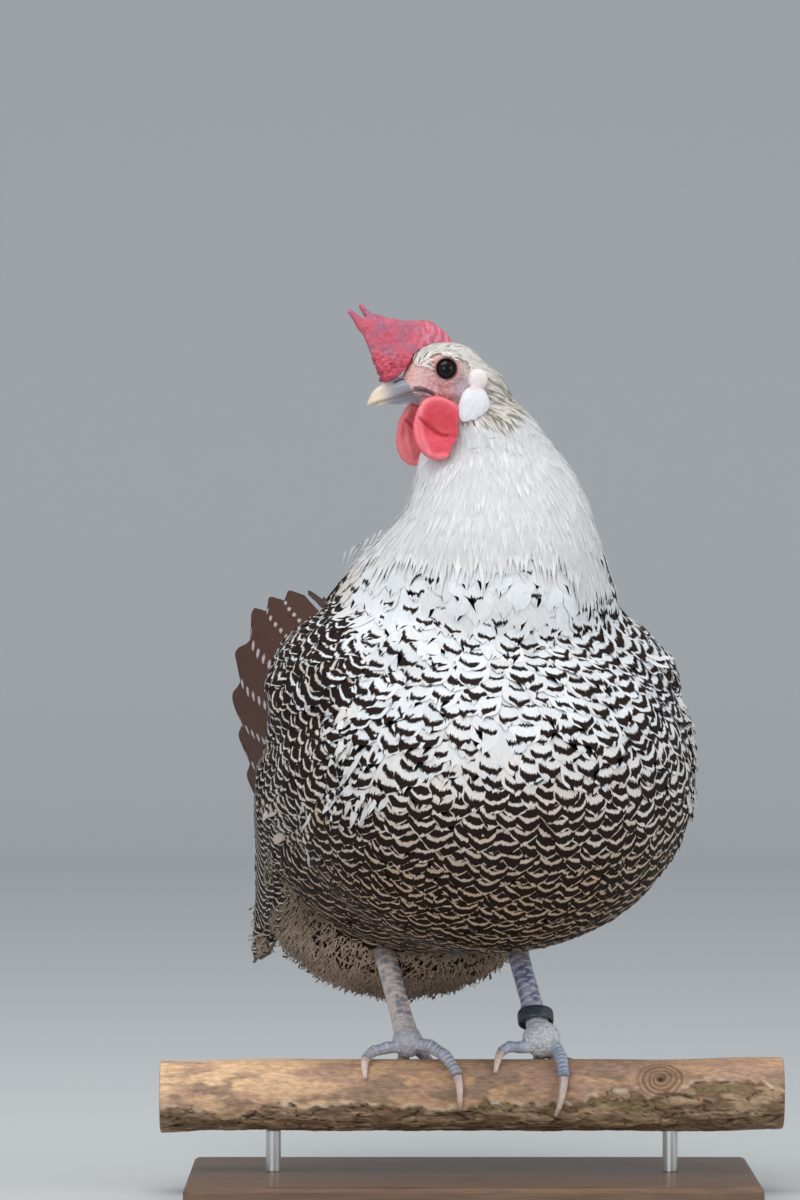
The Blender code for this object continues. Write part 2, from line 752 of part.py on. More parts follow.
def main():
    clear_scene()
    barred = material("barred_plumage", (0.30, 0.26, 0.23), 0.75)
    white = material("white_plumage", (0.86, 0.84, 0.79), 0.8)
    red = material("comb_red", (0.62, 0.06, 0.09), 0.45)
    scales = material("leg_scales", (0.52, 0.53, 0.56), 0.5)
    horn = material("bill_and_claw_horn", (0.72, 0.62, 0.52), 0.35)
    ivory = material("ear_lobe_white", (0.88, 0.86, 0.84), 0.6)
    eye_finish = material("eye_dark", (0.02, 0.012, 0.01), 0.05)
    bark = material("branch_bark", (0.42, 0.28, 0.18), 0.85)
    wood = material("base_wood", (0.10, 0.07, 0.05), 0.4)
    steel = material("rod_steel", (0.5, 0.5, 0.5), 0.3, 1.0)
    ring_finish = material("ring_plastic", (0.05, 0.07, 0.09), 0.5)

    stand(wood, steel)
    branch = perch(bark)
    perch_cutter = grown(branch)
    hen = frame_at("hen_frame", mm(0, 0, PERCH_TOP_Z), (0, 0, math.radians(HEN_HEADING)))
    pose = frame_at("head_frame", mm(*HEAD_PLACE), (0, 0, math.radians(HEAD_TURN)), hen)
    bpy.context.view_layer.update()
    trunk, neck, head = body(barred, white, hen, pose)
    outline = grown(trunk)
    fan = tail(barred, hen)
    cut(fan, outline)
    rooms = []
    for side in ("left", "right"):
        form = wing_form("form", side, trunk, barred, hen)
        fused(f"wing_{side}", [], 1.5, 3, 300, barred, hen, [form])
        room_form = wing_form("room_form", side, trunk, barred, hen, outside=True)
        rooms.append(fused(f"wing_{side}_room", [], 1.5, 0, 360, barred, hen, [room_form]))
        drumstick = grown(thigh(side, barred, FOOT_PLACES[side]))
        rooms.append(drumstick)
        rooms.append(grown(leg(side, scales, horn, ring_finish, perch_cutter, drumstick)))
    for room in rooms:
        cut(trunk, room)
        as_cutter(room)
    drop_crumbs(trunk)
    head_parts(head, neck, red, ivory, horn, eye_finish, pose)


main()
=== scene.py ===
"""The looks of a still, life-size hen that grips a cut branch on a plain display stand.

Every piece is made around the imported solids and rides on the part's one body. Lengths are in metres unless a
section says otherwise. The hen's own frame is in millimetres: x to its left, y to its back, z up, from the
point on the top of the perch midway between its feet.
"""

import math
import random

import bmesh
import bpy
import numpy as np
from mathutils import Matrix, Vector, noise
from mathutils.bvhtree import BVHTree


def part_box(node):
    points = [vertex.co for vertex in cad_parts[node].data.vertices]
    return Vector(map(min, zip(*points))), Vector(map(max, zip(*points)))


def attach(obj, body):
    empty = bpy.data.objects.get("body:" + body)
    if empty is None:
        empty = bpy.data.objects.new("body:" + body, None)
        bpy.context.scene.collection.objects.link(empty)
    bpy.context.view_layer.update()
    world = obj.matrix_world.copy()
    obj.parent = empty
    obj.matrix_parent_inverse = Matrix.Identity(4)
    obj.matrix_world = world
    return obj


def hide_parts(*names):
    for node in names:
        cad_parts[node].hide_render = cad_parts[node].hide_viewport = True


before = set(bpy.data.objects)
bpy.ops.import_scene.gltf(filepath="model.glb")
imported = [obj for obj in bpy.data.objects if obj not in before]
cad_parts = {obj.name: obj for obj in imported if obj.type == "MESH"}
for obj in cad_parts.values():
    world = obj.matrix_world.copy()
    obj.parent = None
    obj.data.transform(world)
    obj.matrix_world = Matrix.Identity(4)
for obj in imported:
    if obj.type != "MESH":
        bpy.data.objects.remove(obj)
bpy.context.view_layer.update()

# ---------------------------------------------------------------- studio: camera, backdrop and soft lights
# A long lens looks level at the hen from the front of the stand. The floor sweeps up behind into a pale
# backdrop, and three large soft lights stand above, in front and at the right.

CAMERA_DISTANCE = 3.53
CAMERA_ASIDE = -0.038
CAMERA_HEIGHT = 0.3146

lens = bpy.data.cameras.new("camera")
lens.lens = 200
lens.clip_end = 30
camera = bpy.data.objects.new("camera", lens)
camera.location = (CAMERA_ASIDE, -CAMERA_DISTANCE, CAMERA_HEIGHT)
camera.rotation_euler = (math.radians(90), 0, 0)
bpy.context.scene.collection.objects.link(camera)
bpy.context.scene.camera = camera


def put(tree, kind, inputs=None, **settings):
    """A shader node. An input is a value, or the socket that feeds it."""
    made = tree.nodes.new(kind)
    for name, value in settings.items():
        setattr(made, name, value)
    for name, value in (inputs or {}).items():
        if isinstance(value, bpy.types.NodeSocket):
            tree.links.new(value, made.inputs[name])
        else:
            made.inputs[name].default_value = value
    return made


def calc(tree, operation, *values, clamp=False):
    """The result of a Math node on sockets and numbers."""
    made = put(tree, "ShaderNodeMath", dict(enumerate(values)), operation=operation, use_clamp=clamp)
    return made.outputs[0]


def blend_of(tree, share, one, other, kind="MIX"):
    """A colour between two, each a socket or an (r, g, b)."""
    made = put(tree, "ShaderNodeMix", data_type="RGBA", blend_type=kind)
    for number, value in ((0, share), (6, one), (7, other)):
        if isinstance(value, bpy.types.NodeSocket):
            tree.links.new(value, made.inputs[number])
        else:
            made.inputs[number].default_value = value if number == 0 else (*value, 1)
    return made.outputs[2]


def new_finish(name, roughness=0.6, **sockets):
    """A material with its Principled shader, and the tree that the section goes on to fill."""
    made = bpy.data.materials.new(name)
    made.use_nodes = True
    shader = made.node_tree.nodes["Principled BSDF"]
    shader.inputs["Roughness"].default_value = roughness
    for socket, value in sockets.items():
        shader.inputs[socket.replace("_", " ")].default_value = value
    return made, made.node_tree, shader


def bumped(tree, shader, height, distance, strength=1.0):
    """Lets a height, in metres times the distance, ripple the surface."""
    ripple = put(tree, "ShaderNodeBump", {"Height": height, "Distance": distance, "Strength": strength})
    tree.links.new(ripple.outputs[0], shader.inputs["Normal"])


backdrop_finish, tree, shader = new_finish("backdrop_grey", 0.9)
shader.inputs["Base Color"].default_value = (0.56, 0.58, 0.59, 1)
sweep = bmesh.new()
FLOOR_WIDTH, FLOOR_FRONT, WALL_START, WALL_ROUND, WALL_TOP = 16.0, -8.0, 4.4, 1.4, 7.0
profile = [(FLOOR_FRONT, 0.0), (WALL_START, 0.0)]
profile += [
    (WALL_START + WALL_ROUND * math.sin(a), WALL_ROUND * (1 - math.cos(a)))
    for a in (math.radians(90) * i / 12 for i in range(1, 13))
]
profile.append((WALL_START + WALL_ROUND, WALL_TOP))
ends = [[sweep.verts.new((side * FLOOR_WIDTH / 2, y, z)) for y, z in profile] for side in (-1, 1)]
for i in range(len(profile) - 1):
    sweep.faces.new((ends[0][i], ends[1][i], ends[1][i + 1], ends[0][i + 1])).smooth = True
backdrop_mesh = bpy.data.meshes.new("backdrop")
sweep.to_mesh(backdrop_mesh)
sweep.free()
backdrop_mesh.materials.append(backdrop_finish)
backdrop = bpy.data.objects.new("backdrop", backdrop_mesh)
bpy.context.scene.collection.objects.link(backdrop)

for name, place, size, power, colour in (
    ("light_above", (-0.4, -0.8, 2.3), 1.8, 27, (1.0, 0.985, 0.96)),
    ("light_front", (-0.9, -2.9, 1.0), 1.6, 21, (0.97, 0.98, 1.0)),
    ("light_right", (1.9, -1.1, 0.9), 1.4, 10, (1.0, 0.97, 0.93)),
):
    lamp = bpy.data.lights.new(name, "AREA")
    lamp.shape = "DISK"
    lamp.size = size
    lamp.energy = power
    lamp.color = colour
    light = bpy.data.objects.new(name, lamp)
    light.location = place
    light.rotation_euler = (Vector((0, 0, 0.3)) - Vector(place)).to_track_quat("-Z", "Y").to_euler()
    light.visible_camera = False
    bpy.context.scene.collection.objects.link(light)
surround = bpy.data.worlds.new("studio")
surround.use_nodes = True
surround.node_tree.nodes["Background"].inputs[0].default_value = (0.82, 0.86, 0.9, 1)
surround.node_tree.nodes["Background"].inputs[1].default_value = 0.72
bpy.context.scene.world = surround
bpy.context.scene.view_settings.view_transform = "Standard"

# ---------------------------------------------------------------- skin
# One closed skin over head, neck, trunk, thighs and wings. It lies inside the solids by the depth of the
# coat, which is least on the face, and carries the coat's own colours where it shows between the feathers.

HEN_HEADING = 25  # degrees that the hen's body is turned from the stand's front
HEAD_PLACE = (-23.9, -10.9, 365)  # between the eyes, in the hen's frame
HEAD_TURN = -100
SKIN_VOXEL = 0.0024
COAT_DEPTH, WING_COAT, FACE_COAT = 2.6, 1.6, 0.9

_, perch_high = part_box("perch")
HEN = Matrix.Translation((0, 0, perch_high.z)) @ Matrix.Rotation(math.radians(HEN_HEADING), 4, "Z")
HEN = HEN @ Matrix.Scale(0.001, 4)
FROM_WORLD = HEN.inverted()
# as the hen's own, but in line with the perch
PERCH_FRAME = Matrix.Translation((0, 0, perch_high.z)) @ Matrix.Scale(0.001, 4)
HEAD = Matrix.Translation(HEAD_PLACE) @ Matrix.Rotation(math.radians(HEAD_TURN), 4, "Z")
TO_HEAD = HEAD.inverted()


def smoothstep(start, end, value):
    """0 up to the start, 1 from the end, and a smooth rise between them. The end may come first."""
    t = min(1.0, max(0.0, (value - start) / (end - start)))
    return t * t * (3 - 2 * t)


def run_together(name, nodes, voxel, smoothing):
    """One closed form from the named solids, in the hen's frame, in millimetres."""
    cage = bmesh.new()
    for node in nodes:
        cage.from_mesh(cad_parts[node].data)
    bmesh.ops.remove_doubles(cage, verts=cage.verts, dist=1e-6)
    mesh = bpy.data.meshes.new(name)
    cage.to_mesh(mesh)
    cage.free()
    form = bpy.data.objects.new(name, mesh)
    bpy.context.scene.collection.objects.link(form)
    whole = form.modifiers.new("whole", "REMESH")
    whole.mode = "VOXEL"
    whole.voxel_size = voxel
    even = form.modifiers.new("even", "SMOOTH")
    even.iterations = smoothing
    bpy.context.view_layer.update()
    result = bpy.data.meshes.new_from_object(form.evaluated_get(bpy.context.evaluated_depsgraph_get()))
    bpy.data.objects.remove(form)
    result.transform(FROM_WORLD)
    cage = bmesh.new()
    cage.from_mesh(result)
    parts, seen = [], set()
    for start in cage.verts:
        if start in seen:
            continue
        part, reach = [], [start]
        seen.add(start)
        while reach:
            here = reach.pop()
            part.append(here)
            for edge in here.link_edges:
                there = edge.other_vert(here)
                if there not in seen:
                    seen.add(there)
                    reach.append(there)
        parts.append(part)
    parts.sort(key=len)
    for part in parts[:-1]:
        bmesh.ops.delete(cage, geom=part, context="VERTS")
    cage.normal_update()
    cage.to_mesh(result)
    cage.free()
    return result


def tree_of(mesh):
    """A search tree over a mesh's faces."""
    return BVHTree.FromPolygons([v.co for v in mesh.vertices], [p.vertices for p in mesh.polygons])


def solid_in_hen(*nodes):
    """A search tree over named solids, in the hen's frame."""
    cage = bmesh.new()
    for node in nodes:
        cage.from_mesh(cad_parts[node].data)
    bmesh.ops.transform(cage, matrix=FROM_WORLD, verts=cage.verts)
    found = BVHTree.FromBMesh(cage)
    cage.free()
    return found


FLESH = ["head", "neck", "trunk", "thigh_left", "thigh_right", "wing_left", "wing_right"]
skin_mesh = run_together("skin", FLESH + ["eye_left", "eye_right"], SKIN_VOXEL, 14)
wing_solid = {side: solid_in_hen(f"wing_{side}") for side in ("left", "right")}


def wing_bounds(place):
    """How far a place is behind the folded wing's front edge, and above the edge that the flank covers."""
    front = -67 + 0.31 * (min(place.z, 190) - 139)
    low = 139 - 0.235 * (place.y + 67) - 60 * smoothstep(40, 70, place.y)
    return place.y - front, place.z - low


def on_wing(place):
    """The side of the wing whose outer face the place is on, or None."""
    side = "left" if place.x > 0 else "right"
    if min(wing_bounds(place)) < 0:
        return None
    near, normal, _, distance = wing_solid[side].find_nearest(place, 4.0)
    return side if near is not None and distance < 2.2 and abs(normal.x) > 0.25 else None


def coat_depth(place):
    """How deep the skin lies inside the solids at a place."""
    if on_wing(place):
        return WING_COAT
    return FACE_COAT + (COAT_DEPTH - FACE_COAT) * smoothstep(350, 300, place.z)


skin_normals = [v.normal.copy() for v in skin_mesh.vertices]
for vertex, normal in zip(skin_mesh.vertices, skin_normals):
    vertex.co -= normal * coat_depth(vertex.co)
skin_mesh.update()

# the face is given a finer mesh, then folds, a groove behind the bill, and lids round each eye
EYE_PLACE = Vector((9.3, 0.3, -0.9))
EYE_RADIUS, EYE_OPENING = 6.6, 4.9
EYE_AXIS = Vector((1, -0.12, 0.05)).normalized()
# the corner of the mouth: y and z in the head's frame
GAPE = ((-15, -11.6), (-11, -12.0), (-8, -13.2), (-5.5, -14.6))
EVERY_AXIS = {f"use_axis_{axis}": True for axis in "xyz"}


def on_face(place):
    """Whether a place is on the head before the nape."""
    here = TO_HEAD @ place
    return here.z > -32 and here.y < 15


def evened(cage, verts, times):
    """Takes the roughness out of part of a mesh."""
    for _ in range(times):
        bmesh.ops.smooth_vert(cage, verts=verts, factor=0.5, **EVERY_AXIS)


cage = bmesh.new()
cage.from_mesh(skin_mesh)
for _ in range(2):
    wanted = [f for f in cage.faces if on_face(f.calc_center_median())]
    edges = list({e for f in wanted for e in f.edges})
    bmesh.ops.subdivide_edges(cage, edges=edges, cuts=1, use_grid_fill=True, smooth=0.6)
bmesh.ops.triangulate(cage, faces=[f for f in cage.faces if len(f.verts) > 4])
cage.normal_update()
evened(cage, [v for v in cage.verts if on_face(v.co)], 3)
cage.normal_update()
cage.to_mesh(skin_mesh)
cage.free()


def from_line(line, y, z):
    """How far a point is from a bent line on the side of the head, in millimetres."""
    here, best = Vector((y, z)), 1e9
    for a, b in zip(line, line[1:]):
        a, b = Vector(a), Vector(b)
        t = max(0.0, min(1.0, (here - a).dot(b - a) / (b - a).length_squared))
        best = min(best, (here - a.lerp(b, t)).length)
    return best


def face_shaped(here, outward):
    """Where a point of the face goes: lids that hug the eyeball, fine folds and the groove of the gape."""
    sign = 1 if here.x > 0 else -1
    centre = Vector((sign * EYE_PLACE.x, EYE_PLACE.y, EYE_PLACE.z))
    axis = Vector((sign * EYE_AXIS.x, EYE_AXIS.y, EYE_AXIS.z))
    from_eye = here - centre
    ahead = from_eye.dot(axis)
    r = (from_eye - axis * ahead).length
    fold = noise.noise(Vector((here.y * 0.42, here.z * 0.55, sign * 9.0)))
    wrinkle = noise.noise(Vector((here.y * 0.9 + here.z * 0.5, here.z * 1.5, sign * 5.0)))
    place = here + outward * (0.28 * fold + 0.22 * wrinkle * smoothstep(16, 8, r))
    groove = from_line(GAPE, here.y, here.z)
    if abs(here.x) > 4:
        place -= outward * 1.1 * math.exp(-((groove / 0.8) ** 2))
        place += outward * 0.5 * math.exp(-(((groove - 1.9) / 0.9) ** 2))
    if ahead > -1 and r < 11:
        over = smoothstep(-2, 5, from_eye.z)
        seat = math.sqrt(EYE_RADIUS**2 - EYE_OPENING**2)
        ring = [
            (0.0, 1.0),
            (EYE_OPENING - 0.7, 2.4),
            (EYE_OPENING, seat + 0.15),
            (EYE_OPENING + 0.5, seat + 0.75 + 0.35 * over),
            (EYE_OPENING + 1.1, seat + 0.55 + 0.35 * over),
            (EYE_OPENING + 1.7, seat + 0.05),
            (EYE_OPENING + 2.4, seat + 0.25 + 0.2 * over),
            (EYE_OPENING + 4.0, seat - 0.3),
        ]
        wanted = ring[-1][1]
        for (r0, a0), (r1, a1) in zip(ring, ring[1:]):
            if r0 <= r < r1:
                t = (r - r0) / (r1 - r0)
                wanted = a0 + (a1 - a0) * t
                break
        share = smoothstep(10.5, 7.2, r)
        place += axis * (wanted - ahead) * share
    return place


turned = HEAD.to_3x3()
for vertex in skin_mesh.vertices:
    here = TO_HEAD @ vertex.co
    hollow = smoothstep(15, 6, here.y) * smoothstep(-56, -46, here.z) * smoothstep(-13, -19, here.z)
    here.x -= math.copysign(min(3.6 * hollow, 0.4 * abs(here.x)), here.x)
    vertex.co = HEAD @ here
skin_mesh.update()
for vertex, normal in zip(skin_mesh.vertices, [v.normal.copy() for v in skin_mesh.vertices]):
    if on_face(vertex.co) and vertex.co.z > 334:
        vertex.co = HEAD @ face_shaped(TO_HEAD @ vertex.co, turned.inverted() @ normal)
skin_mesh.update()
for polygon in skin_mesh.polygons:
    polygon.use_smooth = True
guide = tree_of(skin_mesh)

skin = bpy.data.objects.new("skin", skin_mesh)
bpy.context.scene.collection.objects.link(skin)
bpy.ops.object.select_all(action="DESELECT")
bpy.context.view_layer.objects.active = skin
skin.select_set(True)
bpy.ops.object.mode_set(mode="EDIT")
bpy.ops.mesh.select_all(action="SELECT")
bpy.ops.uv.smart_project(angle_limit=math.radians(60), island_margin=0.002)
bpy.ops.object.mode_set(mode="OBJECT")
skin_mesh.uv_layers[0].name = "OFBake"
corner_uv = np.empty(len(skin_mesh.loops) * 2, np.float32)
skin_mesh.uv_layers["OFBake"].data.foreach_get("uv", corner_uv)
corner_uv = corner_uv.reshape(-1, 2)
face_uv = [corner_uv[p.loop_start : p.loop_start + p.loop_total].mean(0) for p in skin_mesh.polygons]


def noise_of(tree, where, scale, detail, **more):
    """The strength of a Noise texture, from 0 to 1."""
    made = put(tree, "ShaderNodeTexNoise", {"Vector": where, "Scale": scale, "Detail": detail, **more})
    return made.outputs[0]


def toned(name, roughness, speckle, speckle_share, relief, **sockets):
    """A finish in the piece's own tones, with a fine speckle and grain. Sizes are in millimetres."""
    made, tree, shader = new_finish(name, roughness, **sockets)
    where = put(tree, "ShaderNodeTexCoord").outputs["Object"]
    tone = put(tree, "ShaderNodeAttribute", attribute_name="tone").outputs["Color"]
    grain = noise_of(tree, where, 1000 / speckle, 3.0, Roughness=0.6)
    low, high = 1 - speckle_share, 1 + speckle_share
    spread = put(tree, "ShaderNodeMapRange", {0: grain, 1: 0.3, 2: 0.7, 3: low, 4: high})
    tree.links.new(blend_of(tree, 1.0, tone, spread.outputs[0], "MULTIPLY"), shader.inputs["Base Color"])
    bumped(tree, shader, grain, relief / 1000, 0.7)
    return made


def tint(mesh, colours):
    """Keeps a colour for each vertex as the mesh's tone."""
    layer = mesh.color_attributes.new("tone", "FLOAT_COLOR", "POINT")
    layer.data.foreach_set("color", np.array([(*c, 1) for c in colours], np.float32).ravel())


def mixed(spots, *place):
    """A colour run together from (place, reach, colour) spots, each weighing less the further off it is."""
    total, weight = Vector((0, 0, 0)), 1e-9
    for centre, reach, colour in spots:
        away = sum((a - b) ** 2 for a, b in zip(place, centre)) / reach**2
        share = math.exp(-away)
        total += Vector(colour) * share
        weight += share
    return total / weight


FACE_TONES = [  # y and z in the head's frame, how far the colour reaches, and the colour
    ((0.5, -1), 6.0, (0.60, 0.18, 0.17)),  # round the eye
    ((-11, -5), 6.0, (0.70, 0.42, 0.38)),  # before the eye
    ((-4, -13), 6.5, (0.66, 0.27, 0.29)),  # cheek
    ((9, -10), 5.0, (0.42, 0.31, 0.42)),  # before the lobes
    ((-10, -15), 4.5, (0.34, 0.20, 0.21)),  # gape
    ((0, -24), 8.0, (0.62, 0.16, 0.18)),  # throat
    ((13, -27), 6.0, (0.72, 0.46, 0.45)),  # under the lobes
    ((-2, 9), 5.0, (0.74, 0.60, 0.54)),  # brow
    ((14, 10), 12.0, (0.74, 0.66, 0.58)),  # crown
    ((22, -14), 12.0, (0.70, 0.60, 0.52)),  # nape
]


def skin_tone(place):
    """The skin's colour: pink on the bare face, dark at the lids' edges, and the coat's own elsewhere."""
    here = TO_HEAD @ place
    if here.z > -34 and place.z > 325:
        tone = mixed(FACE_TONES, here.y, here.z)
        from_eye = Vector((abs(here.x), here.y, here.z)) - EYE_PLACE
        r = (from_eye - EYE_AXIS * from_eye.dot(EYE_AXIS)).length
        bloom = noise.noise(Vector((here.y * 0.5, here.z * 0.9, 6.0)))
        tone = tone.lerp(Vector((0.80, 0.62, 0.62)), 0.35 * smoothstep(0.0, 0.5, bloom))
        tone = tone.lerp(Vector((0.46, 0.10, 0.13)), 0.35 * smoothstep(0.05, 0.5, -bloom))
        ring = smoothstep(EYE_OPENING + 3.4, EYE_OPENING + 1.6, r)
        tone = tone.lerp(Vector((0.50, 0.13, 0.13)), 0.5 * ring)
        rim = smoothstep(EYE_OPENING + 1.5, EYE_OPENING + 0.6, r)
        if abs(here.x) > 3:
            # a dark brownish wedge widens towards the bill round the gape, and painted shade darkens the
            # gape's sunken groove to near black
            mouth = from_line(GAPE, here.y, here.z)
            wedge = smoothstep(-5.0, -15.0, here.y)
            tone = tone.lerp(Vector((0.13, 0.085, 0.095)), 0.85 * smoothstep(1.2 + 2.0 * wedge, 0.3, mouth))
            tone = tone.lerp(Vector((0.04, 0.015, 0.02)), 0.85 * math.exp(-((mouth / 0.55) ** 2)))
        return tone.lerp(Vector((0.022, 0.012, 0.013)), rim)
    buff = Vector((0.62, 0.45, 0.31)) * 0.8
    buff = buff.lerp(Vector((0.20, 0.13, 0.09)), smoothstep(40, 60, place.y) * smoothstep(116, 96, place.z))
    return Vector((0.80, 0.80, 0.81)).lerp(buff, smoothstep(190, 70, place.z))


tint(skin_mesh, [skin_tone(v.co) for v in skin_mesh.vertices])
skin_finish = toned("skin", 0.55, 0.8, 0.16, 0.25, Subsurface_Weight=0.08, Subsurface_Scale=0.002)
skin_mesh.materials.append(skin_finish)

# ---------------------------------------------------------------- how the feathers lie
# Each feather is a thin curved vane whose root is in the skin. It follows the skin towards its tip and rises
# through the coat, so that it lies over the feathers behind it as on the bird.

BODY_MIDDLE = Vector((0, 12, 128))
NECK_POLE = Vector((-0.03, -0.58, 0.81)).normalized()
BAR_PITCH = 6.3
MAP_PER_MM = 0.01  # of each vane's own map, which the bars are worked out on
TUFT_PATCH = 0.0015  # half the side of a feather's patch on the map of the whole skin


def flow_at(place):
    """The way that the coat lies: back from the bill, down the neck, outwards and back over the body."""
    from_head = HEAD.to_3x3() @ Vector((0, 1, -0.5))
    down_neck = Vector((0, 0.05, -1))
    out = place - BODY_MIDDLE
    polar = out.normalized()
    ringed = polar * polar.dot(NECK_POLE) - NECK_POLE + Vector((0, 0, -0.35))
    back = Vector((0, 1, 0.12)) * smoothstep(-30, 80, place.y) * 1.15
    lower = smoothstep(262, 232, place.z)
    upper = smoothstep(330, 350, place.z)
    way = (ringed + back) * lower + down_neck * (1 - lower)
    return way * (1 - upper) + from_head * upper


def ring_distance(place):
    """How far round the body a place is from the neck, so that the bars of neighbours meet in rings."""
    out = place - BODY_MIDDLE
    return out.length * math.acos(max(-1.0, min(1.0, out.normalized().dot(NECK_POLE))))


def sown(mesh, spacing, seed, tries):
    """Roots scattered over a mesh, no two closer than spacing(place). No root is set where that is None."""
    chance = random.Random(seed)
    areas = np.array([p.area for p in mesh.polygons])
    picks = np.random.default_rng(seed).choice(len(areas), tries, p=areas / areas.sum())
    cell = 14.0
    cells, roots = {}, []
    for pick in picks:
        face = mesh.polygons[int(pick)]
        corners = [mesh.vertices[v].co for v in face.vertices]
        a, b = chance.random(), chance.random()
        if len(corners) == 4:
            low = corners[0].lerp(corners[1], a)
            place = low.lerp(corners[3].lerp(corners[2], a), b)
        else:
            if a + b > 1:
                a, b = 1 - a, 1 - b
            place = corners[0] + (corners[1] - corners[0]) * a + (corners[2] - corners[0]) * b
        gap = spacing(place)
        if gap is None:
            continue
        key = tuple(int(c // cell) for c in place)
        near = (
            other
            for i in (-1, 0, 1)
            for j in (-1, 0, 1)
            for k in (-1, 0, 1)
            for other in cells.get((key[0] + i, key[1] + j, key[2] + k), ())
        )
        if all((other - place).length_squared > gap * gap for other in near):
            cells.setdefault(key, []).append(place)
            roots.append((place, int(pick)))
    return roots


def contour_width(t, length):
    """A body feather's half width, as a share of its widest, at a distance from its tip."""
    tip = min(1.0, (t + 0.25) / (0.24 * length))
    return math.sqrt(1 - (1 - tip) ** 2) * (1 - 0.5 * smoothstep(0.45, 1.0, t / length))


def hackle_width(t, length):
    """A hackle feather's half width: long and narrow, drawn out to a point."""
    return 0.10 + 0.90 * smoothstep(0, 0.55, t / length) * (1 - 0.35 * smoothstep(0.75, 1, t / length))


CONTOUR_ROWS = (0, 0.035, 0.085, 0.15, 0.23, 0.32, 0.42, 0.56, 0.76, 1.0)
HACKLE_ROWS = (0, 0.10, 0.22, 0.38, 0.56, 0.78, 1.0)


def laid(one, number, rows, columns, width_at):
    """The points of one vane, row by row from its root, each with its place across and along the vane."""
    chance = random.Random(number * 7919 + int(one["length"] * 1000))
    length, half = one["length"], one["width"] / 2
    place, way, over = one["root"].copy(), one["way"], one.get("over", guide)
    _, normal, _, _ = over.find_nearest(place)
    way = (way - normal * way.dot(normal)).normalized()
    across = [2 * i / columns - 1 for i in range(columns + 1)]
    tear = [chance.uniform(-1, 1) for _ in across]
    tilt = chance.uniform(-1, 1) * one.get("tilt", 0.1)
    points, gone = [], 0.0
    for share in reversed(rows):
        t = share * length
        place, gone = place + way * (length - t - gone), length - t
        place, normal, _, _ = over.find_nearest(place)
        way = (way - normal * way.dot(normal)).normalized()
        side = normal.cross(way)
        wide = half * width_at(t, length)
        rise = (1 - share) ** one.get("bow", 0.85)
        torn = one.get("torn", 0.7) * smoothstep(0.3 * length, 0, t)
        for column, u in enumerate(across):
            slip = one.get("crescent", 0.28) * half * u * u + torn * tear[column]
            spot = place + side * (u * wide) - way * slip
            near, upward, _, _ = over.find_nearest(spot)
            height = one["lift"] * rise + one["layer"] - one.get("camber", 0.5) * u * u * rise
            height += tilt * u * half * rise + one.get("curl", 0.0) * smoothstep(0.3 * length, 0, t)
            points.append((near + upward * max(height, 0.05) + (spot - near) * 0.3, u, t, upward))
    return points


def joined(name, feathers, vanes, rows, columns, finish, slot, *stands_for, soft=0.72):
    """One piece of all the vanes, with their bars' map, their colours' map and each feather's marks."""
    each = (columns + 1) * len(rows)
    first = np.arange(len(feathers)) * each
    quads = []
    for line in range(len(rows) - 1):
        for column in range(columns):
            a = line * (columns + 1) + column
            quads.append((a, a + columns + 1, a + columns + 2, a + 1))
    faces = (first[:, None, None] + np.array(quads)[None]).reshape(-1, 4)
    mesh = bpy.data.meshes.new(name)
    mesh.from_pydata([point for vane in vanes for point, *_ in vane], [], faces.tolist())
    mesh.transform(HEN)
    half = [one["width"] / 2 for one in feathers]
    spread = [
        (0.5 + MAP_PER_MM * u * w, MAP_PER_MM * (t + one["phase"]))
        for one, vane, w in zip(feathers, vanes, half)
        for _, u, t, _ in vane
    ]
    patch = [(u, 1 - 2 * t / one["length"]) for one, vane in zip(feathers, vanes) for _, u, t, _ in vane]
    spread, patch = np.array(spread, np.float32), np.array(patch, np.float32)
    patch = np.repeat(np.array([face_uv[one["face"]] for one in feathers]), each, 0) + patch * TUFT_PATCH
    corners = np.empty(len(mesh.loops), np.int32)
    mesh.loops.foreach_get("vertex_index", corners)
    mesh.uv_layers.new(name="Vane").data.foreach_set("uv", spread[corners].ravel())
    mesh.uv_layers.new(name="OFBake").data.foreach_set("uv", patch[corners].ravel())
    marks = np.repeat(np.array([one["mark"] for one in feathers], np.float32), each, 0)
    mesh.color_attributes.new("mark", "FLOAT_COLOR", "POINT").data.foreach_set("color", marks.ravel())
    spots = np.repeat(np.array([one.get("spot", 0.0) for one in feathers], np.float32), each)
    mesh.attributes.new("spot", "FLOAT", "POINT").data.foreach_set("value", spots)
    mesh.polygons.foreach_set("use_smooth", [True] * len(mesh.polygons))
    # barbs scatter light as the whole coat does, so a vane is shaded mostly as the skin below it faces
    own = np.array([v.normal for v in mesh.vertices])
    turn = np.array(HEN.to_3x3().normalized())
    below = np.array([upward for vane in vanes for *_, upward in vane]) @ turn.T
    facing = own * (1 - soft) + below * soft
    facing /= np.linalg.norm(facing, axis=1)[:, None]
    mesh.normals_split_custom_set_from_vertices(facing.tolist())
    mesh.materials.append(finish)
    piece = bpy.data.objects.new(name, mesh)
    bpy.context.scene.collection.objects.link(piece)
    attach(piece, "root")
    if stands_for:
        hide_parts(*stands_for)


def grow(name, feathers, rows, columns, width_at, finish, slot, soft=0.72):
    """A piece of coat: each feather is a dict of its root, face, way, length, width, lift and marks."""
    vanes = [laid(one, number, rows, columns, width_at) for number, one in enumerate(feathers)]
    joined(name, feathers, vanes, rows, columns, finish, slot, soft=soft)


def swing(tree, value, size):
    """A value from 0 to 1 made to swing round nothing, over the size in all."""
    return calc(tree, "MULTIPLY", calc(tree, "SUBTRACT", value, 0.5), size)


def drawn_out(tree, across, along, per_across, per_along, start=0.0):
    """A place on a vane for a noise of unlike scales across and along it."""
    x, y = calc(tree, "MULTIPLY", across, per_across), calc(tree, "MULTIPLY", along, per_along)
    return put(tree, "ShaderNodeCombineXYZ", {0: x, 1: y, 2: start}).outputs[0]


